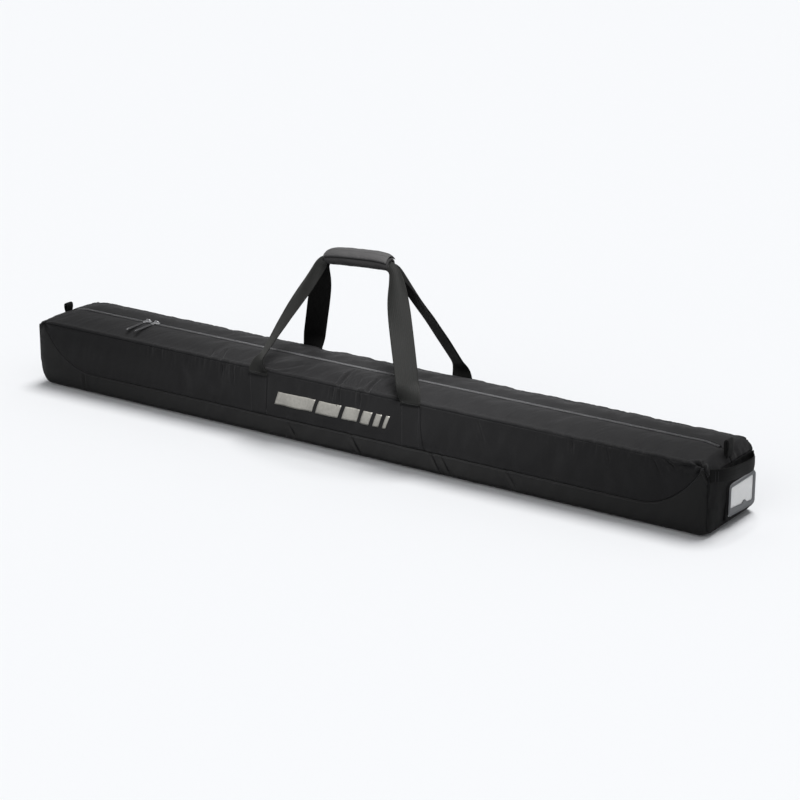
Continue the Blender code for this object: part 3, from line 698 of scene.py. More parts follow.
def wrinkles(a, s):
    """Height of the fine folds over the puffed surface."""
    a, s = np.broadcast_arrays(a, np.mod(s, S_ALL))
    round_ = np.minimum(s, S_ALL - s)
    rear = s > S_ALL / 2
    along = a + np.where(rear, REAR_NOISE_SHIFT, 0.0)
    height = fbm(along, round_, *SLOW_WAVES) * SLOW_HEIGHT
    fine = fbm(along + 0.5 * round_, round_ - 0.3 * along, *FINE_WAVES)
    height = height + fine * np.where(round_ > S_EDGE, FINE_HEIGHT_SIDE, FINE_HEIGHT_TOP)
    edge = np.exp(-(np.maximum(0.0, round_ - SEAM_S - 0.002) / 0.020) ** 2)
    edge = edge * np.exp(-(np.maximum(0.0, SEAM_S - 0.004 - round_) / 0.012) ** 2)
    folds = fbm(along, round_, *EDGE_GATHERS)
    folds = folds - 1.4 * np.maximum(0.0, folds - 0.15)
    height += folds * edge * gathering(a) * np.where(rear, GATHER_HEIGHT_REAR, GATHER_HEIGHT)
    seam = round_ - side_s(boot_top(a))
    height += fbm(along, round_, *BOOT_PUCKERS) * np.exp(-np.abs(seam) / 0.012) * BOOT_PUCKER_HEIGHT
    height -= BOOT_SEAM_DEPTH * seam_show(a) * np.exp(-(seam / SEAM_HALF) ** 2)
    height -= EDGE_SEAM_DEPTH * edge_show(a) * np.exp(-((round_ - SEAM_S) / SEAM_HALF) ** 2)
    height += ROLL_HEIGHT * np.exp(-((round_ - SEAM_S + ROLL_ABOVE) / ROLL_HALF) ** 2)
    for start, end, depth, width in CREASES:
        front = crease(a, round_, start, end, FRONT_DEPTH * depth, width)
        behind = 0.0
        if depth < FRONT_ONLY:
            behind = crease(REAR_TURN - a, round_, start, end, REAR_DEPTH * depth, width)
        height = height + np.where(rear, behind, front)
    for sign in (-1, 1):
        offset = a - sign * CORNER_PINCH[0], round_ - CORNER_PINCH[1]
        away = np.hypot(*offset)
        angle = np.arctan2(*offset[::-1])
        height += np.exp(-away / PINCH_REACH) * (PINCH_RAYS * np.cos(5 * angle) - PINCH_DEPTH)
    away = np.hypot(a - FOOT_HOLLOW[0], round_ - FOOT_HOLLOW[1])
    height -= HOLLOW_DEPTH * np.exp(-(away / HOLLOW_REACH) ** 2)
    height -= END_SEAM_DEPTH * np.exp(-((A_MAX - np.abs(a)) / 0.0030) ** 2)
    end_seam = np.exp(-((A_MAX - 0.004 - np.abs(a)) / 0.016) ** 2)
    height += fbm(along, round_, *END_PUCKERS) * end_seam * END_PUCKER_HEIGHT
    beside_zip = np.clip((round_ - 0.004) / 0.02, 0, 1)
    return np.where(round_ > S_FOOT + 0.004, 0.0, height * beside_zip)


# ---------------------------------------------------------------- mesh building

def link(name, data):
    """Put a mesh, lamp or camera in the scene."""
    obj = bpy.data.objects.new(name, data)
    bpy.context.scene.collection.objects.link(obj)
    return obj


def new_mesh(name, *materials):
    mesh = bpy.data.meshes.new(name)
    for material in materials:
        mesh.materials.append(material)
    return mesh


class Batch:
    """Closed solids gathered into one mesh, with a UV map in metres and materials by face."""

    def __init__(self, *materials):
        self.materials = materials
        self.points, self.uv, self.faces, self.slots = [], [], [], []
        self.count = 0

    def add(self, points, uv, faces, slots):
        """Add points and faces. Faces are rows of point numbers, counted from this call's first point."""
        points = points.reshape(-1, 3)
        self.points.append(points)
        self.uv.append(uv.reshape(-1, 2))
        self.faces += [[corner + self.count for corner in face] for face in faces]
        self.slots += slots
        self.count += len(points)

    def tube(self, rings):
        """Add a closed tube from rings of points, with a flat cap at each end."""
        rings = np.asarray(rings, float)
        n, m = rings.shape[:2]
        girth = np.linalg.norm(rings[0] - np.roll(rings[0], 1, 0), axis=1).sum()
        uv = coords(np.arange(m)[None] / m * girth, line_run(rings.mean(1))[:, None])
        caps = [list(range(m))[::-1], list(range((n - 1) * m, n * m))]
        faces = quads(n, m, True) + caps
        self.add(rings, uv, faces, [0] * len(faces))

    def sheet(self, outer, inner, uv, slots=(0, 0), closed=False):
        """Add the closed solid between two grids. closed joins its last column to its first."""
        n, m = outer.shape[:2]
        under = n * m
        over_faces = quads(n, m, closed)
        under_faces = [[under + corner for corner in quad[::-1]] for quad in over_faces]
        rim = [(b, a, under + a, under + b) for a, b in rim_edges(n, m, closed)]
        face_slots = [slots[0]] * len(over_faces) + [slots[1]] * len(over_faces) + [slots[0]] * len(rim)
        both = np.concatenate([outer.reshape(-1, 3), inner.reshape(-1, 3)])
        both_uv = np.concatenate([uv.reshape(-1, 2)] * 2)
        self.add(both, both_uv, over_faces + under_faces + rim, face_slots)

    def build(self, name):
        """Make the object."""
        mesh = new_mesh(name, *self.materials)
        mesh.from_pydata(np.concatenate(self.points).tolist(), [], self.faces)
        layer = mesh.uv_layers.new(name="UVMap")
        corners = np.empty(len(mesh.loops), int)
        mesh.loops.foreach_get("vertex_index", corners)
        layer.data.foreach_set("uv", np.concatenate(self.uv)[corners].ravel())
        mesh.polygons.foreach_set("material_index", self.slots)
        bm = bmesh.new()
        bm.from_mesh(mesh)
        return smooth_piece(name, mesh, bm)


def smooth_piece(name, mesh, bm):
    """Turn a bmesh into a smoothly shaded object."""
    bmesh.ops.recalc_face_normals(bm, faces=bm.faces)
    for face in bm.faces:
        face.smooth = True
    bm.to_mesh(mesh)
    bm.free()
    return link(name, mesh)


def rim_edges(n, m, closed):
    """Border edges of a grid of n rows and m columns, as pairs of point numbers in order."""
    edges = []
    for j in range(m if closed else m - 1):
        k = (j + 1) % m
        edges.append((j, k))
        edges.append(((n - 1) * m + k, (n - 1) * m + j))
    if not closed:
        for i in range(n - 1):
            edges.append(((i + 1) * m, i * m))
            edges.append((i * m + m - 1, (i + 1) * m + m - 1))
    return edges


def finish_piece(obj, body, slot, *nodes, fill=None):
    """Ride on a body, or stay where it was built as a lid piece, and stand for CAD nodes. Its slot is not
    used.
    """
    if nodes:
        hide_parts(*nodes)
    if isinstance(body, tuple):
        lid_blend(obj, *body)
    else:
        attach(obj, body)


def piece(name, material, body, slot, *nodes, tubes=(), sheets=(), sewn=(), closed=False):
    """Make one piece of closed tubes, closed sheets and rows of stitches."""
    batch = Batch(MATS[material])
    for rings in tubes:
        batch.tube(rings)
    for outer, inner, uv in sheets:
        batch.sheet(outer, inner, uv, closed=closed)
    for line, normals in sewn:
        stitch_line(batch, line, normals)
    finish_piece(batch.build(name), body, slot, *nodes)


def spaced(low, high, step):
    """Evenly spaced values from low to high, about step apart."""
    return np.linspace(low, high, max(2, int(round(abs(high - low) / step)) + 1))


def across(low, high, count):
    """For each row, places between its two seam lines, closer together beside the seams."""
    share = np.linspace(0, 1, count)[None]
    share = share - 0.85 * np.sin(2 * np.pi * share) / (2 * np.pi)
    return np.asarray(low)[:, None] * (1 - share) + np.asarray(high)[:, None] * share


def frames(path):
    """Directions along, and two directions across, at each point of a path."""
    path = np.asarray(path, float)
    along = unit(np.gradient(path, axis=0))
    side = np.empty_like(path)
    start = np.array([0, 0, 1.0]) if abs(along[0][2]) < 0.9 else np.array([1.0, 0, 0])
    side[0] = unit(np.cross(along[0], start))
    for k in range(1, len(path)):
        side[k] = unit(side[k - 1] - along[k] * np.dot(side[k - 1], along[k]))
    return along, side, np.cross(along, side)


def cord_rings(path, radius, sides=8, flat=1.0):
    """Rings of a round or flattened cord along a path. radius may change along it."""
    path = np.asarray(path, float)
    _, side, up = frames(path)
    angle = np.linspace(0, 2 * np.pi, sides, endpoint=False)[None, :, None]
    radius = np.broadcast_to(np.asarray(radius, float), len(path))[:, None, None]
    return path[:, None] + radius * (np.cos(angle) * side[:, None] + flat * np.sin(angle) * up[:, None])


def rounded_path(corners, cut, step):
    """Evenly stepped line through corners, each rounded off by its own cut length."""
    corners = np.asarray(corners, float)
    points = [corners[0]]
    for before, corner, after, reach in zip(corners, corners[1:], corners[2:], cut):
        enter = corner + unit(before - corner) * reach
        leave = corner + unit(after - corner) * reach
        for t in np.linspace(0, 1, 9):
            points.append((1 - t) ** 2 * enter + 2 * t * (1 - t) * corner + t ** 2 * leave)
    points.append(corners[-1])
    return resampled(points, step)


def line_run(points):
    """Length of a line from its start to each of its points."""
    return np.r_[0, np.cumsum(np.linalg.norm(np.diff(points, axis=0), axis=1))]


def read_line(places, run, values):
    """Values of a line's points, read at lengths along it."""
    return np.stack([np.interp(places, run, values[:, k]) for k in range(3)], -1)


def resampled(points, step):
    """The same line with points every step."""
    points = np.asarray(points, float)
    run = line_run(points)
    return read_line(spaced(0, run[-1], step), run, points)


def strap(path, out, half, across, lift, thick, step):
    """A strap along a path: outer grid, inner grid and UV map. lift is its height at each place across it."""
    v = np.linspace(-1, 1, len(lift)) * half
    outer = path[:, None] + out[:, None] * lift[None, :, None] + v[:, None] * np.array(across, float)
    return outer, outer - out[:, None] * thick, coords(v[None], np.arange(len(path))[:, None] * step)


STITCH_PITCH = 0.0042
STITCH_LENGTH = 0.0030
STITCH_RADIUS = 0.00034


def stitch_line(batch, points, normals):
    """Sew a row of stitches along a line on cloth. normals point out of the cloth."""
    points, normals = np.broadcast_arrays(points, normals)
    run = line_run(points)
    angle = np.linspace(0, 2 * np.pi, 5, endpoint=False)[:, None]
    for start in np.arange(0.001, run[-1] - STITCH_LENGTH, STITCH_PITCH):
        rings = []
        for share, size, lift in ((0, 0.5, -0.6), (0.25, 1, 0.5), (0.75, 1, 0.5), (1, 0.5, -0.6)):
            place = start + share * STITCH_LENGTH
            up = unit(read_line(place, run, normals))
            ahead = unit(read_line(place + 0.0005, run, points) - read_line(place - 0.0005, run, points))
            centre = read_line(place, run, points) + up * lift * STITCH_RADIUS
            circle = np.cos(angle) * np.cross(ahead, up) + np.sin(angle) * up
            rings.append(centre + STITCH_RADIUS * size * circle)
        batch.tube(rings)


# ---------------------------------------------------------------- shell pieces

EDGE_ROLL = 0.0011
CLOTH_STEP = {"front": 0.0026, "rear": 0.004}


def cut_panel(name, shell, rows, table, thickness, outside, sink):
    """Cut a padded panel. table holds each row's places round the section; its edges roll down by sink."""
    a = np.repeat(rows[:, None], table.shape[1], 1)
    first, last = np.abs(table - table[:, :1]), np.abs(table - table[:, -1:])
    roll = sink[0] * np.exp(-(first / EDGE_ROLL) ** 2) + sink[1] * np.exp(-(last / EDGE_ROLL) ** 2)
    outer = shell.at(a, table, -roll)
    batch = Batch(MATS[outside], MATS["lining"])
    batch.sheet(outer, outer - shell.normal(a, table) * thickness, coords(a, table), (0, 1))
    return batch.build(name)


def build_sides(shell):
    """Boot panel and the two side panels, edge to edge with their edges rolled into the seam."""
    def panel_rows(step):
        rows = spaced(-A_MAX, A_MAX, step)
        return rows, side_s(boot_top(base_surface(rows, 0.2)[:, 0])), 0.0012 * seam_show(rows)[:, None]

    rows, seam, sink = panel_rows(0.004)
    under = across(seam + 0.0002, S_ALL - seam - 0.0002, 96)
    boot = cut_panel("boot_skin", shell, rows, under, SIDE_PAD, "boot", (sink, sink))
    finish_piece(boot, "bag", "boot_fabric", "boot_panel", "bottom_foam", fill=0.9)
    for side, step in CLOTH_STEP.items():
        rows, seam, sink = panel_rows(step)
        table = mirrored(across(np.full_like(seam, SEAM_S + 0.0004), seam - 0.0002, 42), side)
        sink = (0.0009 * edge_show(rows)[:, None], sink)
        skin = cut_panel(f"side_skin_{side}", shell, rows, table, SIDE_PAD, "shell", sink)
        finish_piece(skin, "bag", "shell_fabric", f"side_panel_{side}", f"side_foam_{side}", fill=0.9)


def build_ends(shell):
    """End panels and the welt that joins them to the sides and the boot."""
    for end, sign in (("left", -1), ("right", 1)):
        u, v = grid(np.linspace(0, 1, 45), np.linspace(0, 1, 37))
        outer = shell.end(sign, u, v)
        batch = Batch(MATS["end"], MATS["lining"])
        batch.sheet(outer, outer - (sign * SIDE_PAD, 0, 0), coords(u * 2 * HALF_W, v * SIDE_H), (0, 1))
        skin = batch.build(f"end_skin_{end}")
        finish_piece(skin, "bag", "shell_fabric", f"end_panel_{end}", f"end_foam_{end}", fill=0.9)
        s = spaced(SEAM_S, S_ALL - SEAM_S, 0.004)
        welt = cord_rings(shell.flat(sign * (A_MAX - 0.001), s), 0.0012)
        piece(f"end_welt_{end}", "tape", "bag", "shell_fabric", tubes=[welt])


def zip_slot(a):
    """Half the width of the slot for the zip along the top, which closes beyond the zip."""
    return np.where(np.abs(a) < ZIP_END + 0.003, ZIP_SLOT, 0.0004)


def lid_blend(piece, side, end):
    """Keep a lid piece where it was built, with its place baked into its points."""
    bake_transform(piece)


def lid_rows(end, step, last=A_MAX):
    low, high = (-last, FLAP_MIDDLE) if end == "left" else (FLAP_MIDDLE, last)
    return spaced(low, high, step)


LID_COLUMNS = 46
CUT_CORNER = math.radians(60)


def crisp_cut(obj):
    """Shade a panel's cut faces apart from its outer face, so two lengths join without a line."""
    bm = bmesh.new()
    bm.from_mesh(obj.data)
    for edge in bm.edges:
        middle = (edge.verts[0].co.x + edge.verts[1].co.x) / 2
        if abs(middle - FLAP_MIDDLE) < 0.0005 and edge.calc_face_angle(0.0) > CUT_CORNER:
            edge.smooth = False
    bm.to_mesh(obj.data)
    bm.free()


def build_lid(shell):
    """Padded top, split by the zip, each side in two lengths."""
    for side in ("front", "rear"):
        for end in ("left", "right"):
            rows = lid_rows(end, CLOTH_STEP[side])
            table = mirrored(across(zip_slot(rows), np.full_like(rows, SEAM_S - 0.0003), LID_COLUMNS), side)
            sink = (0.0014, 0.0009 * edge_show(rows)[:, None])
            pad = cut_panel(f"lid_{side}_{end}", shell, rows, table, LID_PAD, "lid", sink)
            crisp_cut(pad)
            nodes = [f"top_panel_{side}", f"top_foam_{side}", f"top_lining_{side}", f"top_end_panel_{end}"]
            finish_piece(pad, (side, end), "shell_fabric", *nodes, f"top_end_foam_{end}", fill=0.8)


def build_edge_seams(shell):
    """Corded seam along each long top edge, thinning out towards the corners."""
    for side in ("front", "rear"):
        a = spaced(-A_MAX + 0.008, A_MAX - 0.008, 0.005)
        sunk = -0.0004 - 0.0018 * (1 - edge_show(a))
        path = shell.at(a, mirrored(np.full_like(a, SEAM_S), side), sunk)
        cord = cord_rings(path, 0.0008 * np.clip((A_MAX - np.abs(a)) / 0.03, 0.3, 1))
        piece(f"edge_cord_{side}", "tape", "bag", "shell_fabric", f"edge_piping_{side}", tubes=[cord])


def seam_line(shell, a, s, lift=0.0001):
    """Points on the shell to sew along, and the way out from them."""
    return shell.at(a, s, lift), shell.normal(a, s)


def build_seam_stitches(shell):
    """Top-stitching just under the boot seam."""
    for side in ("front", "rear"):
        a = spaced(-BOOT_SEWN_TO, BOOT_SEWN_TO, 0.006)
        s = mirrored(side_s(boot_top(a)) + BOOT_STITCHES_BELOW, side)
        piece(f"boot_stitching_{side}", "thread", "bag", "shell_fabric", sewn=[seam_line(shell, a, s)])


def build_lining():
    """Lining tub, with a lip that turns out over the foam, and its two end walls."""
    low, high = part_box("lining_tub")
    wall = high[1] - 0.001
    floor = low[2] + 0.0005
    top = high[2]
    lip = [(-HALF_W + 0.006, top + 0.0015), (-wall - 0.004, top + 0.001), (-wall, top - 0.003)]
    down = [(-wall, z) for z in spaced(top - 0.012, floor + 0.010, 0.010)]
    bottom = [(y, floor) for y in spaced(-wall + 0.008, wall - 0.008, 0.009)]
    half = lip + down
    path = np.array(half + [(-wall + 0.002, floor + 0.002)] + bottom)
    path = np.concatenate([path, [(wall - 0.002, floor + 0.002)], [(-y, z) for y, z in reversed(half)]])
    x, place = grid(spaced(low[0] + 0.001, high[0] - 0.001, 0.008), np.arange(len(path)))
    y, z = path[place, 0], path[place, 1]
    ripple = np.abs(fbm(x, place * 0.01, 0.05, 0.08, 3, 21.0)) * 0.0010
    on_wall = np.abs(y) > wall - 0.003
    inward = np.where(on_wall, -np.sign(y), 0.0)
    upward = np.where(on_wall, 0.0, 1.0)
    outer = coords(x, y + inward * ripple, z + upward * ripple)
    inner = outer - coords(0.0, inward, np.where(np.abs(y) > wall, 1.0, upward)) * 0.0007
    sheets = [(outer, inner, coords(x, place * 0.01))]
    for sign in (-1, 1):
        up, over = spaced(floor - 0.001, top + 0.002, 0.009), spaced(-wall - 0.002, wall + 0.002, 0.008)
        v, u = np.meshgrid(up, over)
        bulge = np.abs(fbm(u, v, 0.05, 0.05, 2, 30.0 + sign)) * 0.001
        face = coords(sign * (high[0] - 0.002 - bulge), u, v)
        sheets.append((face, face + (sign * 0.0007, 0, 0), coords(u, v)))
    piece("lining", "lining", "bag", "lining", "lining_tub", sheets=sheets)


# ---------------------------------------------------------------- zip

COIL_PITCH = 0.0022
COIL_TURN_STEPS = 9
COIL_OFFSET, COIL_WIDE, COIL_TALL = 0.0019, 0.0023, 0.0012
COIL_SINK = 0.0003
COIL_WIRE = 0.0005
TAPE_COLUMNS = 7


def build_zip(shell):
    """Two tapes and two interlocked coils, in the same lengths as the lid."""
    for side, sign in (("front", -1), ("rear", 1)):
        for end in ("left", "right"):
            part, lid = f"{side}_{end}", (side, end)
            rows = lid_rows(end, 0.006, ZIP_END)
            s = mirrored(across(np.full_like(rows, 0.0008), np.full_like(rows, 0.016), TAPE_COLUMNS), side)
            a = np.repeat(rows[:, None], TAPE_COLUMNS, 1)
            outer = shell.at(a, s, -0.0012)
            tape = (outer, outer - shell.normal(a, s) * 0.0006, coords(a, s))
            nodes = f"zip_tape_{side}", f"zip_tape_{end}"
            piece(f"zip_tape_{part}_cloth", "tape", lid, "zip_tape", *nodes, sheets=[tape])

            turns = (rows[-1] - rows[0]) / COIL_PITCH
            steps = np.arange(int(turns * COIL_TURN_STEPS))
            angle = steps * 2 * np.pi / COIL_TURN_STEPS
            x = rows[0] + steps * COIL_PITCH / COIL_TURN_STEPS + (COIL_PITCH / 2 if sign > 0 else 0)
            turn_y = sign * (COIL_OFFSET + COIL_WIDE * np.cos(angle))
            turn = coords(0, turn_y, COIL_TALL * np.sin(angle) - COIL_SINK)
            coil = cord_rings(shell.flat(x, 0.0) + turn, COIL_WIRE, 5)
            nodes = f"zip_coil_{side}", f"zip_coil_{end}"
            piece(f"zip_coil_{part}_teeth", "coil", lid, "zip_coil", *nodes, tubes=[coil])

            rows = lid_rows(end, 0.006, ZIP_END - 0.004)
            line = seam_line(shell, rows, mirrored(np.full_like(rows, ZIP_SLOT + 0.0032), side))
            piece(f"zip_stitching_{part}", "thread", lid, "shell_fabric", sewn=[line])


def rounded_plate(bm, outline, low, high, bevel):
    """Add a bevelled plate with an outline in x and y to a bmesh."""
    made = [bm.verts.new((x, y, low)) for x, y in outline]
    face = bm.faces.new(made)
    lifted = bmesh.ops.extrude_face_region(bm, geom=[face])["geom"]
    top = [item for item in lifted if isinstance(item, bmesh.types.BMVert)]
    bmesh.ops.translate(bm, verts=top, vec=(0, 0, high - low))
    edges = list(dict.fromkeys(edge for vert in made + top for edge in vert.link_edges))
    bmesh.ops.bevel(bm, geom=edges, offset=bevel, segments=3, profile=0.5, affect="EDGES", clamp_overlap=True)


def add_rings(bm, rings):
    """Add a closed tube to a bmesh from rings of points."""
    rows = [[bm.verts.new(tuple(point)) for point in ring] for ring in rings]
    count = len(rows[0])
    for one, two in zip(rows, rows[1:]):
        for k in range(count):
            bm.faces.new((one[k], one[(k + 1) % count], two[(k + 1) % count], two[k]))
    bm.faces.new(rows[0][::-1])
    bm.faces.new(rows[-1])


def build_slider(end):
    """Zip slider: top and bottom plates, turned-down flanges and the bridge that holds the pull."""
    low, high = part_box(f"zip_slider_{end}")
    centre = (low[0] + high[0]) / 2
    facing = 1 if end == "right" else -1
    half = (high[0] - low[0]) / 2
    wide = high[1]
    plate_z = ZIP_Z + 0.0016
    profile = [(-half, 0.62), (-0.55 * half, 0.80), (0.1 * half, 1.0), (0.65 * half, 0.94), (half, 0.60)]
    outline = [(centre + facing * x, share * wide) for x, share in profile]
    outline += [(x, -y) for x, y in reversed(outline)]
    bm = bmesh.new()
    rounded_plate(bm, outline, plate_z, plate_z + 0.0014, 0.0005)
    rounded_plate(bm, outline, ZIP_Z - 0.0045, ZIP_Z - 0.0033, 0.0004)
    for sign in (-1, 1):
        lip = [(centre + facing * x, sign * share * wide, plate_z + 0.0002) for x, share in profile[1:4]]
        add_rings(bm, cord_rings(rounded_path(lip, [0.001], 0.001), 0.0008, 8, 1.3))
    arch = [(-0.0062, 0.0006), (-0.0050, 0.0052), (0.0050, 0.0052), (0.0062, 0.0006)]
    arch = [(centre + x, 0.0, plate_z + z) for x, z in arch]
    add_rings(bm, cord_rings(rounded_path(arch, [0.0022, 0.0022], 0.0006), 0.0014, 10, 0.5))
    name = f"slider_{end}_metal"
    metal = smooth_piece(name, new_mesh(name, MATS["metal"]), bm)
    finish_piece(metal, f"slider_{end}", "slider_metal", f"zip_slider_{end}")


# Where each slider stops, and how far its pull stays above the lid all the way there.
SLIDE_END = {"left": -0.7795, "right": 0.7800}
PULL_CLEAR = 0.0024
PULL_REACH = 0.080
PULL_WIRE = 0.0007
TAB_HALF, TAB_THICK = 0.0032, 0.0017


def build_pull(shell, end):
    """Long pull on a slider: wire link, and a slotted tab that rests on the lid."""
    slider_low, slider_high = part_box(f"zip_slider_{end}")
    x0 = (slider_low[0] + slider_high[0]) / 2
    grip_low, grip_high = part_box(f"pull_grip_{end}")
    far = np.array([(grip_low[0] + grip_high[0]) / 2 - x0, (grip_low[1] + grip_high[1]) / 2, 0])
    ahead = unit(far)
    sideways = np.array([-ahead[1], ahead[0], 0])
    start_z = ZIP_Z + 0.0042
    r = np.linspace(0.02, PULL_REACH, 31)
    lid = [shell.at(x + ahead[0] * r, -ahead[1] * r)[..., 2] for x in (x0, SLIDE_END[end])]
    need = np.max(lid, axis=0) + PULL_CLEAR
    tip_z = start_z + np.max((need - start_z) * PULL_REACH / r)

    def place(r, w, lift=0.0):
        share = min(max(r / PULL_REACH, 0.0), 1.0)
        return np.array([x0, 0, start_z * (1 - share) + tip_z * share + lift]) + ahead * r + sideways * w

    def wire(line, step):
        return cord_rings(resampled([place(r, w) for r, w in line], step), PULL_WIRE)

    body = f"pull_{end}"
    link_line = [(0.0, -0.0030), (-0.0006, 0.0), (0.0, 0.0030), (0.012, 0.0034), (0.0165, 0.0022),
                 (0.0175, 0.0), (0.0165, -0.0022), (0.012, -0.0034), (0.0, -0.0030)]
    piece(f"{body}_wire", "metal", body, "slider_metal", f"pull_link_{end}", tubes=[wire(link_line, 0.0008)])
    frame_line = [(0.0150, 0.0), (0.0170, 0.0026), (0.0300, 0.0033), (0.0700, 0.0036), (0.0775, 0.0024),
                  (0.0795, 0.0)]
    frame_line += [(r, -w) for r, w in frame_line[-2::-1]]
    piece(f"{body}_frame", "pull", body, "pull_rubber", f"pull_grip_{end}", tubes=[wire(frame_line, 0.0012)])
    rings = []
    angle = np.linspace(0, 2 * np.pi, 12, endpoint=False)
    for r in spaced(0.022, 0.076, 0.0015):
        grip_rib = 0.0003 * math.cos(2 * math.pi * r / 0.0045) if r > 0.048 else 0.0
        ends = math.sqrt(max(0.0, 1 - ((r - 0.049) / 0.0275) ** 8)) + 0.05
        wide, thick = TAB_HALF * ends, (TAB_THICK + grip_rib) * ends
        rings.append([place(r, wide * math.cos(t), thick * math.sin(t)) for t in angle])
    piece(f"{body}_rubber", "rubber", body, "pull_rubber", tubes=[rings])


# For each loop at the zip's ends: how far in it stands, how much taller it is made, and half its width.
END_LOOP = {"left": (-0.0025, -0.0045, 0.0100), "right": (0.0030, 0.0040, 0.0125)}


def build_zip_end_loop(shell, end, sign):
    """Small standing loop of folded tape, its two legs sewn down together at each end of the zip."""
    low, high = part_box(f"zip_end_loop_{end}")
    set_in, taller, half = END_LOOP[end]
    centre = (low[0] + high[0]) / 2 - sign * set_in
    radius = (high[0] - low[0]) / 2 - 0.0035
    ground = shell.flat(along_at(centre), 0.0)[2]
    tall = high[2] - ground + taller
    turn = np.radians(np.linspace(-160, 160, 33))
    x = radius * np.sin(turn) * (0.70 + 0.30 * np.cos(turn)) + np.clip(turn / 0.3, -1, 1) * 0.0018
    z = tall * (0.5 + 0.5 * np.cos(turn))
    feet = [(x[0], -0.003)] + list(zip(x, z)) + [(x[-1], -0.003)]
    path = np.array([(centre + sign * along, 0.0, ground + up) for along, up in feet])
    path = resampled(path, 0.0012)
    _, _, normal = frames(path)
    normal = normal * np.sign(normal[len(path) // 2, 2])
    tape = strap(path, normal, half, (0, 1, 0), 0.0004 * (1 - np.linspace(-1, 1, 9) ** 2), 0.0014, 0.0012)
    piece(f"end_loop_{end}", "strip", "bag", "webbing", f"zip_end_loop_{end}", sheets=[tape])


# ---------------------------------------------------------------- carry loops and grip

def grip_centre(x):
    """Centre line of the grip, a little higher towards the right and drooping at both ends."""
    t = (np.asarray(x, float) - GRIP_X) / GRIP_HALF
    y = -0.003 + 0.003 * t
    z = GRIP_Z + 0.0045 * t - 0.0050 * np.abs(t) ** 4
    return coords(x, y, z)


def side_point(shell, x, z, side, lift=0.0):
    """A point on a side panel at a height, and the way out from it."""
    return seam_line(shell, x, mirrored(side_s(z), side), lift)


FOOT_LOW = {"left": 0.1385, "right": 0.1440}
LEG_STEP = 0.005
LEG_TWIST = {"front": 45, "rear": 19}


def build_anchor_strips(shell):
    """Reinforcing strip down the side under each foot, sewn along its edges."""
    z = spaced(BOOT_HEIGHT + 0.001, TOP_Z - 0.003, 0.005)
    u = np.linspace(-0.5, 0.5, 15) * STRAP_WIDTH
    edge = 1 - np.abs(u / STRAP_WIDTH * 2) ** 10
    for side in ("front", "rear"):
        for end, x0 in STRAP_X.items():
            name = f"anchor_strip_{side}_{end}"
            grid_z, grid_x = grid(z, x0 + u)
            base, normal = side_point(shell, grid_x, grid_z, side)
            outer = base + normal * (0.0007 * edge[None, :, None] - 0.0004)
            cloth = (outer, base - normal * 0.0006, coords(grid_x - x0, grid_z))
            piece(f"{name}_cloth", "shell", "bag", "webbing", name, sheets=[cloth])
            lines = [side_point(shell, np.full_like(z, x), z, side, 0.0004) for x in (x0 - 0.021, x0 + 0.021)]
            piece(f"{name}_stitching", "thread", "bag", "webbing", sewn=lines)
            bend = (TOP_Z - z) ** 2 * (0.9 if end == "right" else -0.7)
            line, _ = side_point(shell, x0 + STRAP_WIDTH / 2 + 0.0010 + bend, z, side, 0.0001)
            piece(f"{name}_seam", "tape", "bag", "webbing", tubes=[cord_rings(line, 0.0009, 6)])


def loop_path(shell, side):
    """Centre line of a carry loop, from its right foot over the grip to its left foot."""
    sign = -1 if side == "front" else 1
    legs = {}
    for end, way in (("right", 1), ("left", -1)):
        x0 = STRAP_X[end]
        low, out = side_point(shell, x0, FOOT_LOW[end], side)
        edge, _ = side_point(shell, x0, TOP_Z - 0.002, side)
        knee = np.array([x0 - way * 0.004, sign * 0.1020, TOP_Z + 0.022])
        inside = grip_centre(GRIP_X + way * (GRIP_HALF - 0.012)) + (0, sign * 0.0055, -0.001)
        turn = grip_centre(GRIP_X + way * (GRIP_HALF + 0.010)) + (0, sign * 0.0060, -0.003)
        legs[end] = [low + out * 0.0032, edge + (0, sign * 0.0030, 0), knee, turn, inside]
    return rounded_path(legs["right"] + legs["left"][::-1], [0.004, 0.014, 0.014, 0.004] * 2, LEG_STEP)


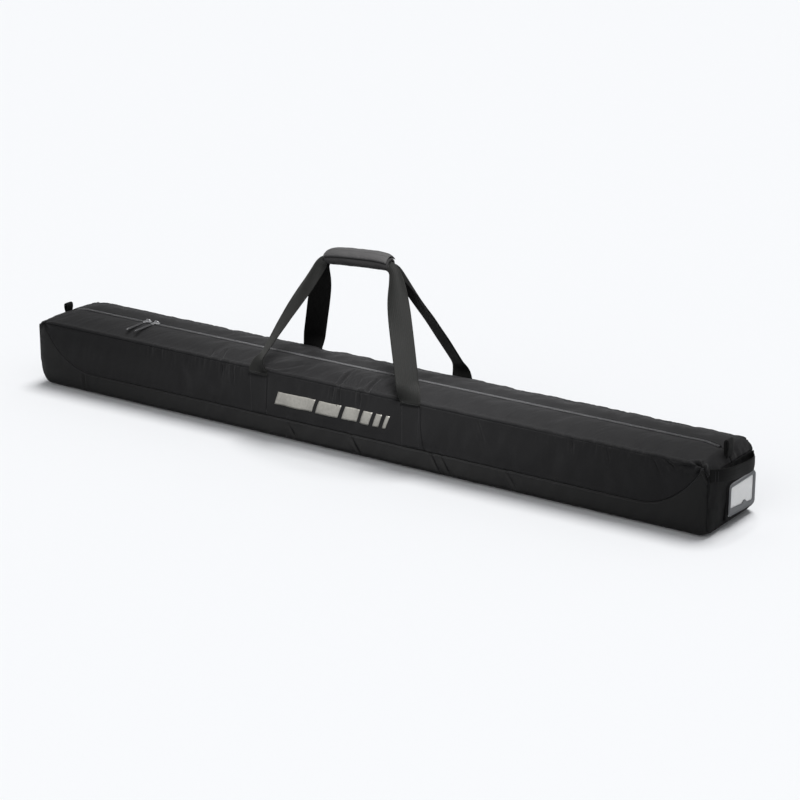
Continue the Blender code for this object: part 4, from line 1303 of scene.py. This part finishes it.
def build_loop(shell, side):
    """Carry loop of flat webbing that twists up its legs and curls lengthwise into the grip."""
    sign = -1 if side == "front" else 1
    path = loop_path(shell, side)
    along = unit(np.gradient(path, axis=0))
    lean = unit(np.array([0, sign * (GRIP_Z - TOP_Z), 0.10]))
    run = np.arange(len(path)) * LEG_STEP
    from_foot = np.minimum(run, run[-1] - run)
    to_grip = np.abs(path[:, 0] - GRIP_X) - GRIP_HALF
    level = (path[:, 2] - TOP_Z) / (GRIP_Z - TOP_Z)
    twist = np.radians(LEG_TWIST[side]) * smooth((from_foot - 0.004) / 0.045)
    if side == "front":
        twist *= np.clip(1.10 - level * 0.85, 0.3, 1)
    gather = np.clip((level - 0.48) / 0.50, 0, 1)
    gather = np.where(to_grip < 0.004, 1.0, gather)
    curl = 0.02 + 2.15 * gather ** 1.8
    upright = np.clip((path[:, 2] - TOP_Z) / 0.03, 0, 1)[:, None]
    plane_out = unit(lean * upright + np.array([0, sign * 1.0, 0]) * (1 - upright))
    outward = unit(np.cross(along, plane_out)) * -sign
    plane_out = unit(np.cross(outward, along)) * -sign
    width_way = np.cos(twist)[:, None] * outward - np.sin(twist)[:, None] * plane_out
    normal = np.cos(twist)[:, None] * plane_out + np.sin(twist)[:, None] * outward
    flat = 1 - 0.72 * np.clip(-to_grip / 0.012 + 0.6, 0, 1)
    t = np.linspace(-1, 1, 21)
    half = STRAP_WIDTH / 2
    reach = half * np.sin(curl[:, None] * t) / curl[:, None]
    depth = half * (1 - np.cos(curl[:, None] * t)) / curl[:, None] * flat[:, None]
    depth = depth - depth.max(1, keepdims=True) * 0.35
    outer = path[:, None] + width_way[:, None] * reach[..., None] - normal[:, None] * depth[..., None]
    slack = fbm(run[:, None] + (0 if side == "front" else 5), t[None] * 0.02, 0.09, 0.05, 2, 40.0) * 0.0012
    outer = outer + normal[:, None] * (slack * np.clip(from_foot / 0.05, 0, 1)[:, None])[..., None]
    local = unit(np.cross(np.gradient(outer, axis=1), np.gradient(outer, axis=0)))
    local = local * np.sign((local * normal[:, None]).sum(-1).mean())
    thick = STRAP_THICK * (1 - 0.35 * np.abs(t) ** 12)
    # The rear loop takes the darker webbing, which is painted shade.
    batch = Batch(MATS["webbing" if side == "front" else "webbing_rear_shaded"])
    batch.sheet(outer, outer - local * thick[None, :, None], coords(t[None] * half, run[:, None]))
    loop = batch.build(f"loop_{side}_webbing")
    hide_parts(f"webbing_loop_{side}")
    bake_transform(loop)

    for end, x0 in STRAP_X.items():
        x = x0 + spaced(-0.021, 0.021, 0.004)
        feet = [side_point(shell, x, FOOT_LOW[end] + up, side) for up in (0.0020, 0.0045)]
        lines = [(line + out * 0.0034, out) for line, out in feet]
        piece(f"foot_stitching_{side}_{end}", "thread", "bag", "webbing", sewn=lines)


def grip_surface(x, angle, lift):
    """Point on the grip at an angle in radians, from the rear (0) over the top to the front (pi)."""
    centre = grip_centre(x)
    t = (x - GRIP_X) / GRIP_HALF
    shrink = 1 - np.where(t < 0, 0.40, 0.20) * np.abs(t) ** 6
    soft = fbm(x, angle * 0.02, 0.030, 0.022, 3, 50.0) * 0.0008
    soft = soft + fbm(x, angle * 0.02, 0.012, 0.030, 2, 55.0) * 0.0006 * np.abs(t) ** 4
    y = (GRIP_A * shrink + lift + soft) * np.cos(angle)
    z = (GRIP_B * shrink + lift + soft) * np.sin(angle)
    return centre + coords(0, y, z)


def grip_layer(name, low, high, lift, thick, material, pull_in, x_trim=0.0):
    """Curved padded layer of the grip between two angles in degrees."""
    angle = np.radians(spaced(low, high, 5))
    x = spaced(GRIP_X - GRIP_HALF + x_trim, GRIP_X + GRIP_HALF - x_trim, 0.003)
    grid_x, grid_angle = grid(x, angle)
    from_end = np.minimum(grid_x - x[0], x[-1] - grid_x)
    from_edge = np.minimum(grid_angle - angle[0], angle[-1] - grid_angle) * GRIP_A
    roll = pull_in * np.exp(-np.minimum(from_end, from_edge) / 0.0018)
    outer = grip_surface(grid_x, grid_angle, lift - roll)
    inner = grip_surface(grid_x, grid_angle, lift - thick + roll)
    batch = Batch(MATS[material])
    batch.sheet(outer, inner, coords(grid_x, grid_angle * GRIP_A))
    return batch.build(name)


def build_grip():
    """Padded wrap in two halves, and the flap that closes them with hook and loop."""
    for side, low, high in (("front", 97, 265), ("rear", -85, 83)):
        pad = grip_layer(f"wrap_{side}", low, high, 0.0, 0.0068, "wrap_pad", 0.0018)
        finish_piece(pad, f"loop_{side}", "shell_fabric", f"grip_pad_{side}", fill=0.7)
    loop_strip = grip_layer("wrap_loop_strip", 100, 134, 0.0009, 0.0012, "pile", 0.0, 0.006)
    finish_piece(loop_strip, "loop_front", "webbing", "grip_loop_strip")
    flap = grip_layer("wrap_flap", 22, 163, 0.0042, 0.0024, "wrap", 0.0010, 0.0015)
    finish_piece(flap, "grip_cover", "shell_fabric", "grip_flap", fill=0.3)
    hook_strip = grip_layer("wrap_hook_strip", 98, 136, 0.0018, 0.0007, "pile", 0.0, 0.006)
    finish_piece(hook_strip, "grip_cover", "webbing", "grip_hook_strip")
    x = spaced(GRIP_X - GRIP_HALF + 0.004, GRIP_X + GRIP_HALF - 0.004, 0.004)
    lines = [grip_surface(x, np.full_like(x, math.radians(degrees)), 0.0043) for degrees in (157, 118)]
    sewn = [(line, unit(line - grip_centre(x))) for line in lines]
    piece("wrap_flap_stitching", "thread", "grip_cover", "shell_fabric", sewn=sewn)


# ---------------------------------------------------------------- right end

HAUL_WIDTH = 0.028


def build_haul_handle():
    """Short webbing handle across the right end, sewn into both corners."""
    low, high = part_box("haul_handle")
    drop = (high[2] - low[2]) - HAUL_WIDTH
    reach = high[1] - 0.004
    bow = 0.75 * (high[0] - HALF_L - 0.002)
    y = np.linspace(-reach, reach, 61)
    near = np.abs(y) / reach
    x = HALF_L + 0.0014 + bow * (1 - np.minimum(near / 0.90, 1) ** 4)
    x = x - 0.007 * np.clip((near - 0.90) / 0.10, 0, 1) ** 1.6
    droop = 0.0015 * (1 - near ** 2) + drop * (y + reach) / (2 * reach)
    path = resampled(coords(x, y, high[2] - HAUL_WIDTH / 2 - droop), 0.003)
    out = unit(np.cross(unit(np.gradient(path, axis=0)), (0, 0, 1.0)))
    v = np.linspace(-1, 1, 13)
    half = HAUL_WIDTH / 2
    webbing = strap(path, out, half, (0, 0, 1), 0.0011 - 0.0012 * v ** 2, 0.0022, 0.003)
    piece("haul_handle_webbing", "haul", "bag", "webbing", "haul_handle", sheets=[webbing])
    sewn = []
    for k in (4, 6, len(path) - 7, len(path) - 5):
        line = path[k] + out[k] * 0.0013 + coords(0, 0, v * half * 0.85)
        sewn.append((resampled(line, 0.004), out[k]))
    piece("haul_handle_stitching", "thread", "bag", "webbing", sewn=sewn)


def rounded_frame(y0, y1, z0, z1, radius, count=12):
    """Points round a rectangle with rounded corners, the same number for any size."""
    points = []
    corners = [(y1, z0, -90), (y1, z1, 0), (y0, z1, 90), (y0, z0, 180)]
    for cy, cz, start in corners:
        my = cy - math.copysign(radius, cy - (y0 + y1) / 2)
        mz = cz - math.copysign(radius, cz - (z0 + z1) / 2)
        for step in range(7):
            turn = math.radians(start + step * 15)
            points.append((my + radius * math.cos(turn), mz + radius * math.sin(turn)))
    line = []
    for k, (one, two) in enumerate(zip(points, points[1:] + points[:1])):
        line.append(one)
        if k % 7 == 6:
            for share in np.linspace(0, 1, count + 2)[1:-1]:
                line.append((one[0] * (1 - share) + two[0] * share, one[1] * (1 - share) + two[1] * share))
    return np.array(line)


def window_plane(shell):
    """How far along the bag the window's card lies: clear of the end panel on all of its way out."""
    y, z = grid(spaced(-HALF_W, 0.092, 0.003), spaced(0.010, 0.098, 0.003))
    return shell.end_x(y, z)[..., 0].max() + 0.0005


def on_plane(flat, x):
    """Points at places (y, z) on the plane at x."""
    return coords(x, flat[..., 0], flat[..., 1])


def filled(y_range, z_range, radius):
    """Places over a rectangle with rounded corners, in rings from its middle out."""
    edge = rounded_frame(*y_range, *z_range, radius)
    centre = np.array([sum(y_range) / 2, sum(z_range) / 2])
    share = np.linspace(0.02, 1, 14)[:, None, None]
    return centre + (edge - centre)[None] * share, share[..., 0]


def slanted(line, rise):
    """Raise the front end of a frame line's lower edge, and leave its upper edge where it is."""
    (y0, z0), (y1, z1) = line.min(0), line.max(0)
    front = (y1 - line[:, 0]) / (y1 - y0)
    low = (z1 - line[:, 1]) / (z1 - z0)
    return line + coords(0, rise * front * low)


def with_tongue(line, along_y, rise):
    """Raise a small rounded tongue in a frame line's lower edge."""
    low = line[:, 1] < (line[:, 1].min() + line[:, 1].max()) / 2
    bump = rise * np.exp(-((line[:, 0] - along_y) / 0.008) ** 4) * low
    return line + coords(0, bump)


def build_id_window(shell):
    """Card window: raised backing, card, clear film, and a ribbed frame that is open to the front."""
    (_, y0, z0), (_, y1, z1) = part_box("id_window_rim")
    plane = window_plane(shell)
    # The backing reaches 7 mm past the frame on its front side, so dark tape fills the gap there: painted
    # shade in the gap. The rest is the real backing.
    flat, share = filled((y0 - 0.007, y1 + 0.001), (z0 - 0.003, z1 + 0.001), 0.008)
    on_end = shell.end_x(flat[..., 0], flat[..., 1], -0.0008)
    backing = (on_plane(flat, plane - 0.0012 * share ** 14), on_end, flat)
    node = "id_pocket_binding"
    piece("window_backing_and_painted_shade", "tape", "bag", "shell_fabric", node, sheets=[backing], closed=True)

    (_, card_y0, card_z0), (_, card_y1, card_z1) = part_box("id_card")
    flat = coords(*grid(spaced(card_y0, card_y1, 0.004), spaced(card_z0, card_z1, 0.004)))
    card = (on_plane(flat, plane + 0.0008), on_plane(flat, plane + 0.0004), flat)
    piece("white_card", "card", "card", "card", "id_card", sheets=[card])

    flat, _ = filled((y0 + 0.004, y1 - 0.008), (z0 + 0.008, z1 - 0.004), 0.006)
    wave = fbm(flat[..., 0], flat[..., 1], 0.03, 0.03, 2, 70.0) * 0.0002
    film = (on_plane(flat, plane + 0.0019 + wave), on_plane(flat, plane + 0.0015 + wave), flat)
    piece("window_film", "film", "bag", "film", "id_window_film", sheets=[film], closed=True)

    outer_line = slanted(rounded_frame(y0, y1, z0, z1, 0.009), 0.006)
    inner_line = slanted(rounded_frame(y0 + 0.007, y1 - 0.010, z0 + 0.012, z1 - 0.007, 0.005), 0.011)
    inner_line = with_tongue(inner_line, y0 * 0.40 + y1 * 0.60, 0.0065)
    share = np.linspace(0, 1, 13)[:, None, None]
    flat = outer_line[None] * (1 - share) + inner_line[None] * share
    share = share[..., 0]
    sewn = np.clip(1 - 5 * share, 0, 1) * (flat[..., 0] > y0 + 0.010)
    ridge = plane + 0.0028 + 0.0009 * np.sin(np.pi * share) - 0.0012 * sewn
    rim = (on_plane(flat, ridge), on_plane(flat, plane + 0.0012 - 0.0014 * sewn), flat)
    piece("window_frame", "rim", "bag", "rim", "id_window_rim", sheets=[rim], closed=True)
    line = on_plane(np.concatenate([flat[3], flat[3][:1]]), plane + 0.0035)
    stitches = [(resampled(line, 0.003), (1.0, 0, 0))]
    piece("window_stitching", "thread", "bag", "shell_fabric", sewn=stitches)


# ---------------------------------------------------------------- front mark

def build_badge(shell):
    """Plain slanted silver bars that get shorter to the right."""
    low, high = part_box("front_badge")
    z = spaced(low[2], high[2], 0.004)
    slant = 0.40 * (z - low[2])
    start = low[0]
    total = high[0] - slant[-1] - start
    shares = [0.34, 0.20, 0.13, 0.08, 0.05, 0.03]
    gap = total * (1 - sum(shares)) / (len(shares) - 1)
    bars = []
    for share in shares:
        x = spaced(start, start + share * total, 0.005)
        grid_x = x[None] + slant[:, None]
        grid_z = np.repeat(z[:, None], len(x), 1)
        base, normal = side_point(shell, grid_x, grid_z, "front")
        bars.append((base + normal * 0.0007, base - normal * 0.0003, coords(grid_x, grid_z)))
        start = x[-1] + gap
    piece("silver_bars", "silver", "bag", "badge", "front_badge", sheets=bars)


# ---------------------------------------------------------------- stage

FLOOR_SIZE = 30.0
POOL_FROM = Vector((1.0, -1.0, 2.2))
POOL_ONTO = Vector((0.05, 0.0, 0.1))
CAMERA_ONTO = Vector((0.0743, 0.0, 0.1088))
CAMERA_TURN = math.radians(34.29)
CAMERA_RISE = math.radians(18.75)
CAMERA_AWAY = 5.372
CAMERA_LENS, CAMERA_SENSOR = 112.3, 36.0


def aimed(name, data, back):
    """Put a lamp or camera in the scene, with its back to a direction."""
    obj = link(name, data)
    obj.rotation_euler = Vector(back).to_track_quat("Z", "Y").to_euler()
    return obj


def lamp(name, kind, energy, back, **settings):
    data = bpy.data.lights.new(name, kind)
    data.energy = energy
    for key, value in settings.items():
        setattr(data, key, value)
    return aimed(name, data, back)


def build_stage():
    """Pale floor, a soft high light, a weak even sky and a pool of light on the middle of the bag."""
    n = Nodes("pale_floor")
    n.set(Base_Color=(0.90, 0.91, 0.925, 1.0), Roughness=0.9, Specular_IOR_Level=0.1)
    mesh = new_mesh("floor", n.mat)
    corners = [(x * FLOOR_SIZE, y * FLOOR_SIZE, -0.0005) for x, y in ((-1, -1), (1, -1), (1, 1), (-1, 1))]
    mesh.from_pydata(corners, [], [(0, 1, 2, 3)])
    floor = link("floor", mesh)
    scene = bpy.context.scene
    scene.world = bpy.data.worlds.new("studio")
    scene.world.use_nodes = True
    sky = scene.world.node_tree.nodes["Background"]
    sky.inputs["Color"].default_value = (0.97, 0.98, 1.0, 1.0)
    sky.inputs["Strength"].default_value = 0.30
    lamp("high_soft", "SUN", 2.35, (-0.02, 0.30, 1.0), angle=math.radians(28))
    lamp("front_fill", "SUN", 0.35, (-0.1, -1.0, 0.5), angle=math.radians(40))
    wide = math.radians(36)
    pool = lamp("middle_pool", "SPOT", 600.0, POOL_FROM - POOL_ONTO, spot_size=wide, spot_blend=1.0,
                shadow_soft_size=0.4)
    pool.location = POOL_FROM
    unlit = bpy.data.collections.new("not_in_the_pool")
    unlit.objects.link(floor)
    unlit.collection_objects[0].light_linking.link_state = "EXCLUDE"
    pool.light_linking.receiver_collection = unlit
    scene.view_settings.view_transform = "Standard"
    scene.view_settings.look = "None"


def build_camera():
    """Camera from the front right, a little above."""
    level = math.cos(CAMERA_RISE)
    back = Vector((math.sin(CAMERA_TURN) * level, -math.cos(CAMERA_TURN) * level, math.sin(CAMERA_RISE)))
    data = bpy.data.cameras.new("camera")
    data.sensor_width = CAMERA_SENSOR
    data.lens = CAMERA_LENS
    camera = aimed("camera", data, back)
    camera.location = CAMERA_ONTO + back * CAMERA_AWAY
    bpy.context.scene.camera = camera


def build_bag():
    """Every piece of the bag, from the shell out."""
    shell = Shell()
    build_sides(shell)
    build_ends(shell)
    build_lid(shell)
    build_edge_seams(shell)
    build_seam_stitches(shell)
    build_lining()
    build_zip(shell)
    for end, sign in (("left", -1), ("right", 1)):
        build_slider(end)
        build_pull(shell, end)
        build_zip_end_loop(shell, end, sign)
    build_anchor_strips(shell)
    for side in ("front", "rear"):
        build_loop(shell, side)
    build_grip()
    build_haul_handle()
    build_id_window(shell)
    build_badge(shell)


build_camera()
build_stage()
build_bag()
